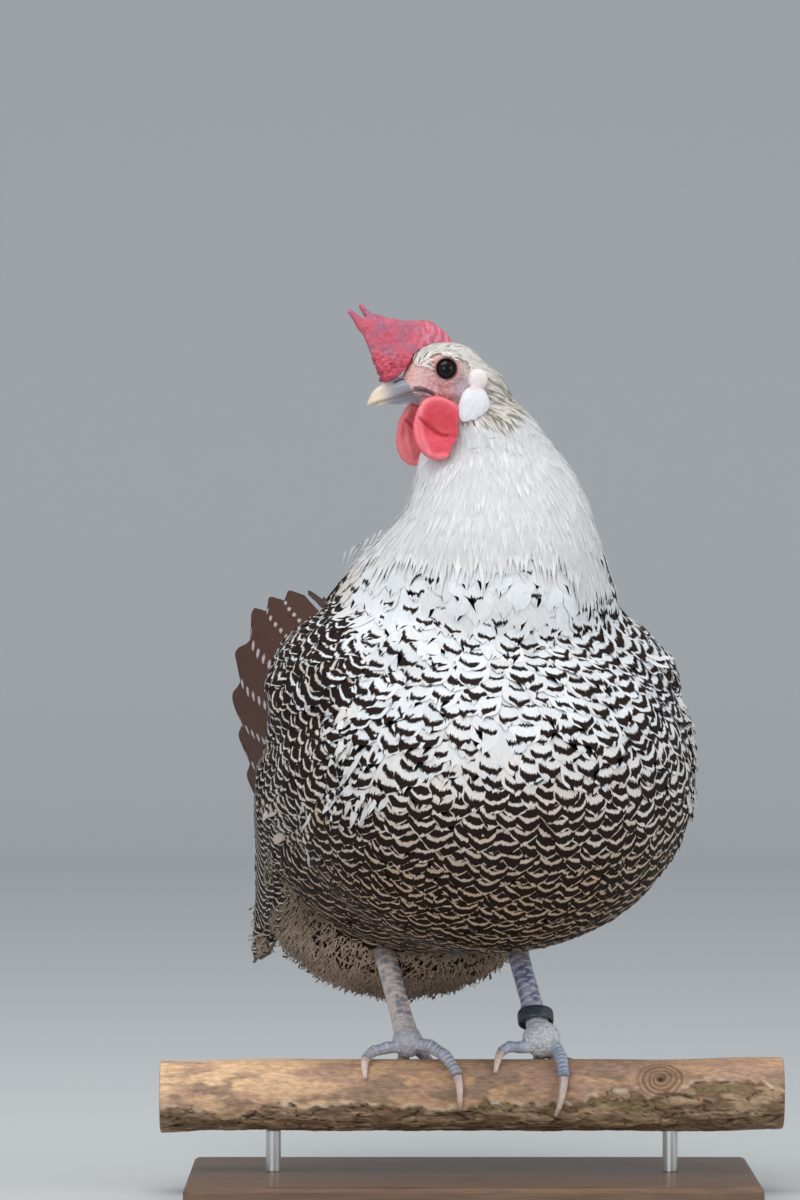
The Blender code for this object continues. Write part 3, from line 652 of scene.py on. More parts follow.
def plumage(name, light, buff, dark, streaks, **sockets):
    """Matt vanes. The mark attribute holds the bars' width, the pale part's warmth and shade, and chance."""
    made, tree, shader = new_finish(name, 0.62, Specular_IOR_Level=0.12, **sockets)
    place = put(tree, "ShaderNodeSeparateXYZ", {0: put(tree, "ShaderNodeUVMap", uv_map="Vane").outputs[0]})
    mark = put(tree, "ShaderNodeAttribute", attribute_name="mark")
    parts = put(tree, "ShaderNodeSeparateColor", {0: mark.outputs["Color"]})
    bars, warmth, shade = parts.outputs
    luck = mark.outputs["Alpha"]
    u = swing(tree, place.outputs[0], 1 / MAP_PER_MM)
    v = calc(tree, "MULTIPLY", place.outputs[1], 1 / MAP_PER_MM)
    barbs = drawn_out(tree, u, v, 2.6, 0.35, calc(tree, "MULTIPLY", luck, 90.0))
    ragged = noise_of(tree, barbs, 1.0, 2.0)
    waver = noise_of(tree, drawn_out(tree, u, v, 0.35, 0.25, calc(tree, "MULTIPLY", luck, 70.0)), 1.0, 1.0)
    moved = calc(tree, "ADD", v, swing(tree, ragged, 2.4))
    moved = calc(tree, "ADD", moved, swing(tree, waver, 2.2))
    bent = calc(tree, "SUBTRACT", moved, calc(tree, "MULTIPLY", calc(tree, "MULTIPLY", u, u), 0.045))
    cycle = calc(tree, "FRACT", calc(tree, "DIVIDE", bent, BAR_PITCH))
    away = calc(tree, "ABSOLUTE", calc(tree, "SUBTRACT", cycle, 0.52))
    edge = calc(tree, "SUBTRACT", calc(tree, "MULTIPLY", bars, 0.5), away)
    dark_here = calc(tree, "MULTIPLY_ADD", edge, 22.0, 0.5, clamp=True)
    dark_here = calc(tree, "MULTIPLY", dark_here, calc(tree, "GREATER_THAN", bars, 0.02))
    spot = put(tree, "ShaderNodeAttribute", attribute_name="spot").outputs["Fac"]
    bent = calc(tree, "ADD", bent, swing(tree, ragged, 1.6))
    middle = calc(tree, "ABSOLUTE", calc(tree, "SUBTRACT", bent, 4.0))
    thick = calc(tree, "MULTIPLY", bars, 3.5)
    inside = calc(tree, "MULTIPLY_ADD", calc(tree, "SUBTRACT", thick, middle), 2.2, 0.5, clamp=True)
    second = calc(tree, "ABSOLUTE", calc(tree, "SUBTRACT", bent, 12.2))
    thin = calc(tree, "MULTIPLY", calc(tree, "SUBTRACT", bars, 0.30), 5.2)
    second = calc(tree, "MULTIPLY_ADD", calc(tree, "SUBTRACT", thin, second), 2.2, 0.5, clamp=True)
    inside = calc(tree, "MAXIMUM", inside, second)
    within = calc(tree, "SUBTRACT", calc(tree, "MULTIPLY_ADD", bars, 7.0, 2.2), calc(tree, "ABSOLUTE", u))
    crescent = calc(tree, "MULTIPLY", inside, calc(tree, "MULTIPLY_ADD", within, 1.6, 0.5, clamp=True))
    dark_here = calc(tree, "MULTIPLY_ADD", spot, calc(tree, "SUBTRACT", crescent, dark_here), dark_here)
    pale = blend_of(tree, warmth, light, buff)
    streak = put(tree, "ShaderNodeMapRange", {0: ragged, 1: 0.3, 2: 0.7, 3: 1 - streaks, 4: 1.03})
    pale = blend_of(tree, 1.0, pale, streak.outputs[0], "MULTIPLY")
    ink = blend_of(tree, ragged, dark, tuple(1.7 * c for c in dark))
    colour = blend_of(tree, dark_here, pale, ink)
    shaded = put(tree, "ShaderNodeCombineColor", {0: shade, 1: shade, 2: shade})
    colour = blend_of(tree, 1.0, colour, shaded.outputs[0], "MULTIPLY")
    tree.links.new(colour, shader.inputs["Base Color"])
    slant = calc(tree, "ADD", v, calc(tree, "MULTIPLY", calc(tree, "ABSOLUTE", u), 1.3))
    rib = calc(tree, "SINE", calc(tree, "MULTIPLY", slant, 2 * math.pi / 0.55))
    bumped(tree, shader, rib, 0.00006, 0.5)
    return made


white_plumage = plumage(
    "white_plumage",
    light=(0.88, 0.89, 0.905),
    buff=(0.87, 0.78, 0.66),
    dark=(0.030, 0.018, 0.013),
    streaks=0.05,
    Subsurface_Weight=0.3,
    Subsurface_Radius=(1.0, 1.0, 1.0),
    Subsurface_Scale=0.0025,
    Sheen_Weight=0.1,
    Sheen_Roughness=0.4,
)
barred_plumage = plumage(
    "barred_plumage",
    light=(0.84, 0.86, 0.885),
    buff=(0.64, 0.46, 0.31),
    dark=(0.013, 0.0065, 0.0045),
    streaks=0.14,
)

# ---------------------------------------------------------------- coat of the body
# Rounded contour feathers, off-white with narrow brown-black bars. They are nearly unmarked under the hackle,
# carry one crescent each on the breast, and are heavily barred and buffer on the flanks, belly and back.


def body_spacing(place):
    """The gap between the roots of the trunk's feathers, wider where their bars have broken up."""
    if place.z > 300 or on_wing(place) or down_here(place) > 0.55:
        return None
    return 6.0 + 1.6 * looseness(place)


def down_here(place):
    """How far a place is in the loose down round the vent and behind the thighs, from 0 to 1."""
    behind = smoothstep(42, 62, place.y) * smoothstep(110, 90, place.z)
    return min(1.0, behind + smoothstep(14, 40, place.y) * smoothstep(62, 48, place.z))


def aside(place):
    """How far a place is to the left of the middle of the perch, looking along the stand."""
    turn = math.radians(HEN_HEADING)
    return place.x * math.cos(turn) - place.y * math.sin(turn)


def whiteness(place):
    """How white the coat is: wholly under the hackle, and less in a bib that narrows down the breast."""
    front = smoothstep(40, -10, place.y)
    uneven = 20 * noise.noise(place * 0.03)
    high = smoothstep(182, 236, place.z + uneven) * smoothstep(82, 50, abs(aside(place) + 8))
    width = 26 + 34 * smoothstep(130, 215, place.z)
    bib = smoothstep(width + 16, width - 22, abs(aside(place) - 2)) * smoothstep(116, 152, place.z)
    return front * max(high, min(1.0, (0.46 + 0.75 * noise.noise(place * 0.045)) * bib))


def looseness(place):
    """How far the dark bars have broken up into short crescents, one to a feather, as on the whole breast."""
    right = 1 - 0.6 * smoothstep(70, 100, aside(place))
    loose = smoothstep(120, 156, place.z) * smoothstep(30, -20, place.y)
    return loose * smoothstep(-72, -56, aside(place)) * right


def swayed(chance, degrees, axis):
    """A small chance turn, as no two feathers lie quite alike."""
    return Matrix.Rotation(math.radians(chance.gauss(0, degrees)), 3, axis)


def body_feather(root, face, chance):
    """One feather of the trunk, with its size and markings by where it grows."""
    way = flow_at(root)
    turn = swayed(chance, 6, "Z")
    back = smoothstep(10, 60, root.y) * smoothstep(150, 190, root.z)
    length = 23 + 6 * back
    tip = root + way.normalized() * length
    white, loose = whiteness(tip), looseness(tip)
    length -= (ring_distance(tip) % BAR_PITCH - BAR_PITCH / 2) * (1 - loose)  # tips come to rest in rows
    low = smoothstep(150, 90, tip.z)
    bars, spot = 0.65 + 0.08 * low + chance.uniform(-0.05, 0.05), 0.0
    bars += 0.08 * smoothstep(-50, -66, aside(tip))
    if chance.random() < 1.3 * loose:
        bars, spot = bars - 0.31 * white - 0.10 * chance.random() * white, 1.0
        if chance.random() < min(0.86, 1.7 * (white - 0.52)):
            bars, spot = 0.0, 0.0
    elif white > 0.75:
        bars = 0.0
    warmth = max(smoothstep(185, 70, tip.z), smoothstep(-30, 30, root.y) * 0.7) + chance.uniform(-0.12, 0.12)
    return {
        "root": root,
        "face": face,
        "way": turn @ way,
        "length": length + chance.gauss(0, 0.3 + 1.1 * loose),
        "width": 14.0 + 3 * back + 4.0 * loose - 3.0 * white + chance.uniform(-1.2, 1.2),
        "lift": COAT_DEPTH * chance.uniform(0.85, 1.1) * (1 - 0.25 * loose - 0.25 * white),
        "layer": 0.25 * chance.random(),
        "torn": 0.8 + 1.1 * loose + 1.2 * white,
        "phase": chance.gauss(0, 0.35 + 0.4 * loose),
        "spot": spot,
        "mark": (
            bars,
            min(1.0, max(0.0, warmth)),
            1.0 - 0.12 * chance.random() - 0.10 * low,
            chance.random(),
        ),
    }


def bars_on_skin(place):
    """How strongly the skin is barred as the feathers over it are, for where it shows between them."""
    covered = smoothstep(262, 240, place.z) * (1 - whiteness(place))
    return covered * smoothstep(0.4, 0.0, down_here(place))


ring = skin_mesh.attributes.new("ring", "FLOAT", "POINT")
ring.data.foreach_set("value", [ring_distance(v.co) for v in skin_mesh.vertices])
barred = skin_mesh.attributes.new("barred", "FLOAT", "POINT")
barred.data.foreach_set("value", [bars_on_skin(v.co) for v in skin_mesh.vertices])
tree = skin_finish.node_tree
shader = tree.nodes["Principled BSDF"]
plain = shader.inputs["Base Color"].links[0].from_socket
ring = put(tree, "ShaderNodeAttribute", attribute_name="ring").outputs["Fac"]
barred = put(tree, "ShaderNodeAttribute", attribute_name="barred").outputs["Fac"]
cycle = calc(tree, "FRACT", calc(tree, "DIVIDE", ring, BAR_PITCH))
away = calc(tree, "ABSOLUTE", calc(tree, "SUBTRACT", cycle, 0.5))
bar = calc(tree, "MULTIPLY_ADD", calc(tree, "SUBTRACT", 0.34, away), 12.0, 0.5, clamp=True)
lined = blend_of(tree, calc(tree, "MULTIPLY", bar, barred), plain, (0.02, 0.012, 0.009))
tree.links.new(lined, shader.inputs["Base Color"])

chance = random.Random(11)
plans = {"coat_breast": [], "coat_left": [], "coat_right": [], "coat_rear": []}
for root, face in sown(skin_mesh, body_spacing, seed=5, tries=60000):
    if root.y > 40:
        key = "coat_rear"
    elif root.y < -50:
        key = "coat_breast"
    else:
        key = "coat_left" if root.x > 0 else "coat_right"
    plans[key].append(body_feather(root, face, chance))
for key, plan in plans.items():
    grow(key, plan, CONTOUR_ROWS, 8, contour_width, barred_plumage, "barred_plumage")

# ---------------------------------------------------------------- down
# Loose buff and brown down hangs round the vent and behind the thighs, in soft wisps with no bars.


def down_spacing(place):
    return 1.35 if down_here(place) > 0.10 and not on_wing(place) else None


chance = random.Random(31)
plan = []
for root, face in sown(skin_mesh, down_spacing, seed=8, tries=620000):
    way = flow_at(root) + Vector((0, 0.1, -0.5 * smoothstep(60, 90, root.z)))
    buff = 0.5 + 0.6 * noise.noise(root * 0.055) + 0.25 * noise.noise(root * 0.2)
    low = smoothstep(85, 45, root.z)
    fluff = chance.random() ** 2
    plan.append(
        {
            "root": root,
            "face": face,
            "way": swayed(chance, 26, (0.3, 0.3, 1)) @ way,
            "length": chance.uniform(5, 10),
            "width": chance.uniform(0.6, 1.0),
            "lift": COAT_DEPTH * (0.3 + 0.9 * fluff),
            "layer": 0.8 + 1.3 * chance.random(),
            "torn": 1.0,
            "curl": chance.uniform(-0.8, 2.6),
            "tilt": 0.4,
            "crescent": 0.0,
            "phase": 0.0,
            "mark": (
                0.0,
                0.7 + 0.3 * chance.random(),
                max(0.22, min(1.0, 0.26 + 0.46 * buff + 0.34 * low)) * chance.uniform(0.88, 1.06),
                chance.random(),
            ),
        }
    )


def wisp_width(t, length):
    """A wisp of down: narrow, fullest in the middle."""
    return 0.12 + 0.88 * math.sin(math.pi * min(1.0, 0.04 + 0.9 * t / length))


WISP_ROWS = (0, 0.12, 0.28, 0.48, 0.72, 1.0)
grow("coat_down", plan, WISP_ROWS, 2, wisp_width, barred_plumage, "barred_plumage", soft=0.9)

# ---------------------------------------------------------------- wings
# Each folded wing has barred coverts over its shoulder, then a fan of long flight feathers that lie along it,
# the upper over the lower, to the ragged tip. Loose pale feathers fringe its front and lower edges.

WING_AXIS = Vector((0, 0.83, -0.556)).normalized()
WING_ACROSS = Vector((0, 0.556, 0.83)).normalized()
WING_START = Vector((0, -72, 196))
COVERTS_END = 178  # how far along the wing its coverts go
QUILL_ROWS = tuple(i / 26 for i in range(27))


def wing_place(side, along, across):
    """A place on the wing's outer face, by its distance along the wing and across it, upwards."""
    sign = 1 if side == "left" else -1
    flat = WING_START + WING_AXIS * along + WING_ACROSS * across
    hit, _, face, _ = guide.ray_cast(Vector((sign * 200, flat.y, flat.z)), Vector((-sign, 0, 0)))
    return (hit, face) if hit else (None, None)


def quill_width(t, length):
    """A flight feather's half width: the same along most of it, with a short round tip."""
    tip = min(1.0, (t + 0.3) / 12)
    return math.sqrt(1 - (1 - tip) ** 2) * (1 - 0.45 * smoothstep(0.5, 1.0, t / length))


chance = random.Random(41)
for side in ("left", "right"):
    coverts = []

    def covert_spacing(place):
        return 6.0 if on_wing(place) == side else None

    for root, face in sown(skin_mesh, covert_spacing, seed=9, tries=60000):
        flat = root - WING_START
        along, across = flat.dot(WING_AXIS), flat.dot(WING_ACROSS)
        if along > COVERTS_END:
            continue
        later = smoothstep(30, 160, along)
        low_edge = smoothstep(-14, -34, across) * smoothstep(20, 60, along)
        length = 19 + 17 * later + chance.uniform(-2, 2)
        coverts.append(
            {
                "root": root,
                "face": face,
                "way": swayed(chance, 7, "X") @ (WING_AXIS - WING_ACROSS * 0.25 * (1 - later)),
                "length": length,
                "width": 11.5 + 3 * later,
                "lift": WING_COAT * chance.uniform(1.1, 1.5),
                "layer": 0.3 * chance.random(),
                "torn": 0.9 + low_edge,
                "phase": -along + chance.gauss(0, 1.4),
                "mark": (
                    0.74 + chance.uniform(-0.06, 0.06),
                    min(1.0, 0.35 + 0.45 * low_edge + 0.2 * chance.random()),
                    1.0 - 0.18 * chance.random(),
                    chance.random(),
                ),
            }
        )
    grow(f"coat_wing_{side}", coverts, CONTOUR_ROWS, 6, contour_width, barred_plumage, "barred_plumage")

    def edge_spacing(place):
        return 2.4 if abs(place.x) > 50 and (place.x > 0) == (side == "left") else None

    edging = []
    for root, face in sown(skin_mesh, edge_spacing, seed=10, tries=260000):
        behind, above = wing_bounds(root)
        tuft = smoothstep(8, 2, abs(behind)) * smoothstep(150, 158, root.z) * smoothstep(202, 190, root.z)
        patch = smoothstep(9, 3, abs(root.z - 146)) * smoothstep(-88, -76, root.y)
        patch *= smoothstep(-36, -48, root.y)
        cream = smoothstep(18, 8, abs(above - 8)) * smoothstep(-40, -26, root.y) * smoothstep(24, 8, root.y)
        if chance.random() > 0.5 * max(tuft, patch, 0.3 * cream):
            continue
        edging.append(
            {
                "root": root,
                "face": face,
                "way": swayed(chance, 11, "X") @ Vector((0, 0.45 + 0.55 * cream, -1 + 0.7 * cream)),
                "length": chance.uniform(10, 17) + 12 * cream,
                "width": chance.uniform(2.6, 5.0) + 1.0 * cream,
                "lift": COAT_DEPTH + chance.uniform(-0.4, 1.4 - 0.8 * cream),
                "layer": 0.4,
                "torn": 2.4,
                "curl": chance.uniform(0, 1.4),
                "tilt": 0.2,
                "crescent": 0.0,
                "phase": chance.uniform(0, 6),
                "mark": (
                    0.5 if chance.random() < 0.40 + 0.3 * cream else 0.0,
                    0.10 + 0.25 * chance.random() + 0.35 * cream,
                    1.0 - 0.12 * chance.random() - 0.2 * cream * chance.random(),
                    chance.random(),
                ),
            }
        )
    grow(f"wing_edge_{side}", edging, WISP_ROWS, 4, wisp_width, barred_plumage, "barred_plumage")
    flights = []
    # along and across at the root, then at the tip: primaries first, then secondaries from the lowest up
    quills = [(120, -16 + 2.5 * k, 250 + 6.5 * k, -16 + 4.2 * k) for k in range(5)]
    quills += [
        (78 + 1.5 * k, -33 + 7.5 * k, 158 + 17 * k - 1.1 * max(0, k - 5) ** 2 * 6, -40 + 6.5 * k)
        for k in range(9)
    ]
    for number, (along, across, tip_along, tip_across) in enumerate(quills):
        root, face = wing_place(side, along, across)
        if root is None:
            continue
        run = Vector((tip_along - along, tip_across - across))
        flights.append(
            {
                "root": root,
                "face": face,
                "way": WING_AXIS * run.x + WING_ACROSS * run.y,
                "length": run.length,
                "width": 17.0,
                "lift": 0.4 + 0.12 * number,
                "layer": 0.12 * number,
                "bow": 0.5,
                "torn": 0.8,
                "tilt": 0.0,
                "camber": 0.25,
                "crescent": 0.35,
                "phase": chance.uniform(0, 5),
                "mark": (0.78, 0.55 + (0.45 if number in (0, 5, 6) else 0.0), 0.92, chance.random()),
            }
        )
    grow(f"flight_feathers_{side}", flights, QUILL_ROWS, 8, quill_width, barred_plumage, "barred_plumage")

# ---------------------------------------------------------------- tail
# The tail is a tented fan of broad feathers, the middle pair on top. They are dark brown with pale dots along
# their edges, and the barred feathers of the rump cover their roots.

TAIL_ROOT = (Vector((0, 60, 178)), Vector((34, 60, 112)))
TAIL_EDGE = [  # the fan's outer edge, from its ridge down one side
    (0, 222, 249),
    (13, 226, 246),
    (25, 228, 239),
    (38, 226, 213),
    (42, 222, 184),
    (39, 215, 158),
    (37, 208, 132),
]
TAIL_PAIRS = 7
TAIL_LENGTH, TAIL_WIDTH = 150.0, 30.0
TAIL_COLUMNS = 10
TAIL_ROWS = tuple(i / 22 for i in range(23))
DOT_PITCH, DOT_ASIDE = 6.2, 12.0


def tail_place(s, a, sign, out):
    """A place in the tail's fan: s from root to tip, a down from the ridge, and out from its face."""
    spread = a * (len(TAIL_EDGE) - 1)
    lower = min(int(spread), len(TAIL_EDGE) - 2)
    edge = Vector(TAIL_EDGE[lower]).lerp(Vector(TAIL_EDGE[lower + 1]), spread - lower)
    root = TAIL_ROOT[0].lerp(TAIL_ROOT[1], a)
    point = root.lerp(edge, s)
    point.x += 8 * math.sin(math.pi * a) * (1 - s)
    away = Vector((1.0, 0, 1.1 * (0.35 - a))).normalized()
    point += away * out
    return Vector((sign * point.x, point.y, point.z))


tail_finish, tree, shader = new_finish("tail_plumage", 0.55, Specular_IOR_Level=0.2)
place = put(tree, "ShaderNodeSeparateXYZ", {0: put(tree, "ShaderNodeUVMap", uv_map="Vane").outputs[0]})
across = calc(tree, "ABSOLUTE", swing(tree, place.outputs[0], 1 / MAP_PER_MM))
along = calc(tree, "MULTIPLY", place.outputs[1], 1 / MAP_PER_MM)
grain = noise_of(tree, drawn_out(tree, across, along, 1.6, 0.16), 1.0, 3.0)
step = calc(tree, "ADD", along, calc(tree, "MULTIPLY", grain, 3.0))
step = swing(tree, calc(tree, "FRACT", calc(tree, "DIVIDE", step, DOT_PITCH)), DOT_PITCH)
from_dot = calc(tree, "POWER", calc(tree, "DIVIDE", calc(tree, "SUBTRACT", across, DOT_ASIDE), 2.1), 2.0)
from_dot = calc(tree, "ADD", from_dot, calc(tree, "POWER", calc(tree, "DIVIDE", step, 1.6), 2.0))
soft_edge = calc(tree, "MULTIPLY", grain, 0.4)
dots = calc(tree, "MULTIPLY_ADD", calc(tree, "SUBTRACT", 1.0, from_dot), 1.2, soft_edge, clamp=True)
ground = blend_of(tree, grain, (0.040, 0.017, 0.012), (0.135, 0.062, 0.046))
dotted = blend_of(tree, calc(tree, "MULTIPLY", dots, 0.85), ground, (0.60, 0.52, 0.55))
tree.links.new(dotted, shader.inputs["Base Color"])
bumped(tree, shader, grain, 0.0002, 0.5)

feathers, vanes = [], []
for sign in (-1, 1):
    for number in range(TAIL_PAIRS):
        centre = (number + 0.42) / TAIL_PAIRS
        vane = []
        for share in reversed(TAIL_ROWS):
            s = 1.0 - share
            for column in range(TAIL_COLUMNS + 1):
                u = -sign * (2 * column / TAIL_COLUMNS - 1)
                tip = min(1.0, (share + 0.004) / 0.10)
                wide = 0.115 * (0.45 + 0.55 * smoothstep(0.0, 0.5, s)) * math.sqrt(1 - (1 - tip) ** 2)
                a = min(1.0, max(0.0, centre + u * wide))
                layer = 1.5 - 0.4 * number + 0.5 * u * (1 if centre + u * wide > 0 else -1)
                point = tail_place(s * (1 - 0.028 * u * u), a, sign, layer)
                outward = Vector((sign, 0, 1.1 * (0.35 - a))).normalized()
                vane.append((point, u, share * TAIL_LENGTH, outward))
        vanes.append(vane)
        near, _, face, _ = guide.find_nearest(tail_place(0.1, centre, sign, 0))
        feathers.append(
            {
                "root": near,
                "face": face,
                "length": TAIL_LENGTH,
                "width": TAIL_WIDTH,
                "phase": 2.0 * number,
                "mark": (0.5, 0.3, 1.0, 0.5),
            }
        )
joined("tail_feathers", feathers, vanes, TAIL_ROWS, TAIL_COLUMNS, tail_finish, "barred_plumage", "tail")

# ---------------------------------------------------------------- hackle
# Long narrow white feathers down the neck, which end in a ragged hem over the breast and shoulders.


def neck_spacing(place):
    """The gap between the hackle's roots, closer towards the head. The throat under the bill has none."""
    if place.z < 274 + 20 * noise.noise(place * 0.05) or place.z > 356:
        return None
    here = TO_HEAD @ place
    edge = -28 + 5 * noise.noise(place * 0.6)
    if here.z > -27 and here.y < 9 or here.z > edge and 6 < here.y < 22 and abs(here.x) > 8:
        return None
    return 2.35 - 0.75 * smoothstep(285, 345, place.z)


chance = random.Random(23)
plan = []
for root, face in sown(skin_mesh, neck_spacing, seed=6, tries=420000):
    up = smoothstep(262, 345, root.z)
    length = 27 - 14 * up + chance.uniform(-5, 4)
    nape = smoothstep(-20, 20, root.y) * smoothstep(255, 300, root.z)
    loose = chance.random() ** (3 - 1.3 * nape) * (0.2 + 0.8 * nape)
    plan.append(
        {
            "root": root,
            "face": face,
            "way": swayed(chance, 7, "Z") @ flow_at(root),
            "length": length,
            "width": 4.4 - 1.9 * up,
            "lift": 0.35 + 1.8 * loose,
            "layer": 1.8 - 0.4 * up + 0.2 * chance.random(),
            "torn": 1.8,
            "camber": 0.15,
            "curl": 3.6 * loose * (0.4 + nape),
            "tilt": 0.05,
            "crescent": 0.0,
            "phase": 0.0,
            "mark": (
                0.0,
                0.10 + 0.5 * smoothstep(20, 50, root.y) * chance.random(),
                1 - 0.08 * chance.random(),
                chance.random(),
            ),
        }
    )
NECK_HALVED = -16  # where the front piece meets the back one, on the hen's y axis
halves = [
    [one for one in plan if one["root"].y < NECK_HALVED],
    [one for one in plan if one["root"].y >= NECK_HALVED],
]
for name, half in zip(("coat_neck_front", "coat_neck_back"), halves):
    grow(name, half, HACKLE_ROWS, 2, hackle_width, white_plumage, "white_plumage", soft=0.88)

# ---------------------------------------------------------------- feathers of the head
# Short close feathers cover the crown, brow and nape and hide the skin behind the ear lobes. The face is bare
# but for fine white bristles, and a tuft of longer ones stands up beside the foot of the comb.


def head_spacing(place):
    """The gap between the roots of the head's feathers. The bare face has none."""
    here = TO_HEAD @ place
    if place.z < 332 or here.z < -27 + 0.6 * max(0.0, here.y - 26):
        return None
    over_eye = here.z > 6.2 - 0.16 * max(0.0, here.y)
    tuft = here.y < -8.5 and here.z > 0.5
    behind = here.y > 11.5 and (here.y > 14 or here.z > -2)
    if not (over_eye or tuft or behind) or here.y < -15:
        return None
    if (Vector((abs(here.x), here.y, here.z)) - EYE_PLACE).length < 9.2 and here.z < 6 or under_comb(place):
        return None
    return 0.85 + 0.75 * smoothstep(8, 26, here.y)


comb_cage = bmesh.new()
comb_cage.from_mesh(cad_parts["comb"].data)
bmesh.ops.transform(comb_cage, matrix=FROM_WORLD, verts=comb_cage.verts)
comb_tree = BVHTree.FromBMesh(comb_cage)
comb_mesh = bpy.data.meshes.new("comb_in_hen")
comb_cage.to_mesh(comb_mesh)
comb_cage.free()


def under_comb(place):
    """Whether a place on the skin is hidden inside the comb."""
    near, normal, _, _ = comb_tree.find_nearest(place, 12)
    return near is not None and (place - near).dot(normal) < 0.1


cage = bmesh.new()
cage.from_mesh(skin_mesh)
bmesh.ops.delete(cage, geom=[f for f in cage.faces if under_comb(f.calc_center_median())], context="FACES")
cage.from_mesh(comb_mesh)
over_head = BVHTree.FromBMesh(cage)
cage.free()
bpy.data.meshes.remove(comb_mesh)

chance = random.Random(53)
plan = []
for root, face in sown(skin_mesh, head_spacing, seed=12, tries=700000):
    here = TO_HEAD @ root
    back = smoothstep(2, 26, here.y)
    streaked = smoothstep(12, 17, here.y) * smoothstep(4, -6, here.z)
    _, _, _, from_comb = comb_tree.find_nearest(root)
    upright = smoothstep(7.5, 4.0, from_comb) * smoothstep(18, 8, here.y)
    way = flow_at(root) * (1 - upright) + (turned @ Vector((0, 0.9 + 0.05 * here.y, 1.0))) * upright
    dark = streaked * (1.0 if chance.random() < 0.38 else 0.15)
    plan.append(
        {
            "root": root,
            "face": face,
            "way": swayed(chance, 9, "Z") @ way,
            "over": over_head,
            "length": 4.8 + 6.5 * back + upright * (1.6 + 4.0 * chance.random()) + chance.uniform(-0.9, 0.9),
            "width": 0.9 + 1.3 * back,
            "lift": 0.35 + 0.4 * back + 0.4 * chance.random() ** 2 + 0.6 * upright,
            "layer": 0.75 + 0.7 * smoothstep(2, 12, here.y) + 0.15 * chance.random(),
            "torn": 0.5,
            "camber": 0.1,
            "tilt": 0.05,
            "crescent": 0.0,
            "phase": 0.0,
            "mark": (
                0.0,
                0.30 + 0.30 * chance.random() + 0.3 * streaked,
                (1.0 - 0.08 * chance.random()) * (1 - 0.62 * dark),
                chance.random(),
            ),
        }
    )
grow("coat_head", plan, WISP_ROWS, 2, hackle_width, white_plumage, "white_plumage", soft=0.85)


def bristle_spacing(place):
    """The gap between the fine bristles of the bare face, clear of the lids."""
    here = TO_HEAD @ place
    if place.z < 336 or here.z < -24 or not -17 < here.y < 12 or here.z > 8:
        return None
    from_eye = Vector((abs(here.x), here.y, here.z)) - EYE_PLACE
    if (from_eye - EYE_AXIS * from_eye.dot(EYE_AXIS)).length < EYE_OPENING + 1.2:
        return None
    return 1.5


plan = []
for root, face in sown(skin_mesh, bristle_spacing, seed=13, tries=60000):
    plan.append(
        {
            "root": root,
            "face": face,
            "way": swayed(chance, 22, "X") @ flow_at(root),
            "length": chance.uniform(1.6, 3.0),
            "width": 0.34,
            "lift": chance.uniform(0.4, 0.9),
            "layer": 0.02,
            "torn": 0.1,
            "camber": 0.0,
            "crescent": 0.0,
            "phase": 0.0,
            "mark": (0.0, 0.1, 1.0, chance.random()),
        }
    )
# a few dark hairs under each ear lobe
for root, face in sown(skin_mesh, lambda place: 3.2, seed=14, tries=60000):
    here = TO_HEAD @ root
    if abs(here.x) < 6 or not 9 < here.y < 20 or not -45 < here.z < -30 or chance.random() > 0.4:
        continue
    plan.append(
        {
            "root": root,
            "face": face,
            "way": turned @ Vector((0, 1, chance.uniform(-0.9, 0.2))),
            "length": chance.uniform(2.5, 5),
            "width": 0.26,
            "lift": 2.2,
            "layer": 2.0,
            "torn": 0.1,
            "camber": 0.0,
            "crescent": 0.0,
            "phase": 0.0,
            "mark": (0.0, 0.3, 0.16, chance.random()),
        }
    )
grow("face_bristles", plan, (0, 0.5, 1.0), 1, wisp_width, white_plumage, "white_plumage")

# ---------------------------------------------------------------- stray feathers
# Two small white feathers stand out from the left shoulder, and thin ones rise from the back before the tail.

plan = []
for place, way, length, width, lift, count in (
    ((113, -40, 226), (0.9, -0.3, 0.2), 15, 2.9, 7.0, 2),
    ((-78, 30, 252), (-0.35, 0.1, 0.95), 17, 0.5, 14.0, 6),
):
    for number in range(count):
        apart, spread = Vector((2.2 * number, 0, 1.3 * number)), Vector((0.2 * number, 0, 0.15 * number))
        near, _, face, _ = guide.find_nearest(FROM_WORLD @ PERCH_FRAME @ Vector(place) + apart)
        plan.append(
            {
                "root": near,
                "face": face,
                "way": FROM_WORLD.to_3x3() @ PERCH_FRAME.to_3x3() @ Vector(way) + spread,
                "length": length + 1.5 * number,
                "width": width,
                "lift": lift + number,
                "layer": 2.0,
                "bow": 1.1,
                "torn": 1.2,
                "tilt": 0.3,
                "crescent": 0.0,
                "phase": 0.0,
                "mark": (0.0, 0.1, 1.0, 0.3 * number),
            }
        )
grow("stray_feathers", plan, WISP_ROWS, 4, wisp_width, white_plumage, "white_plumage")

# ---------------------------------------------------------------- eyes
# A wet dark ball in each lid, with a brown iris that barely shows round the black pupil.

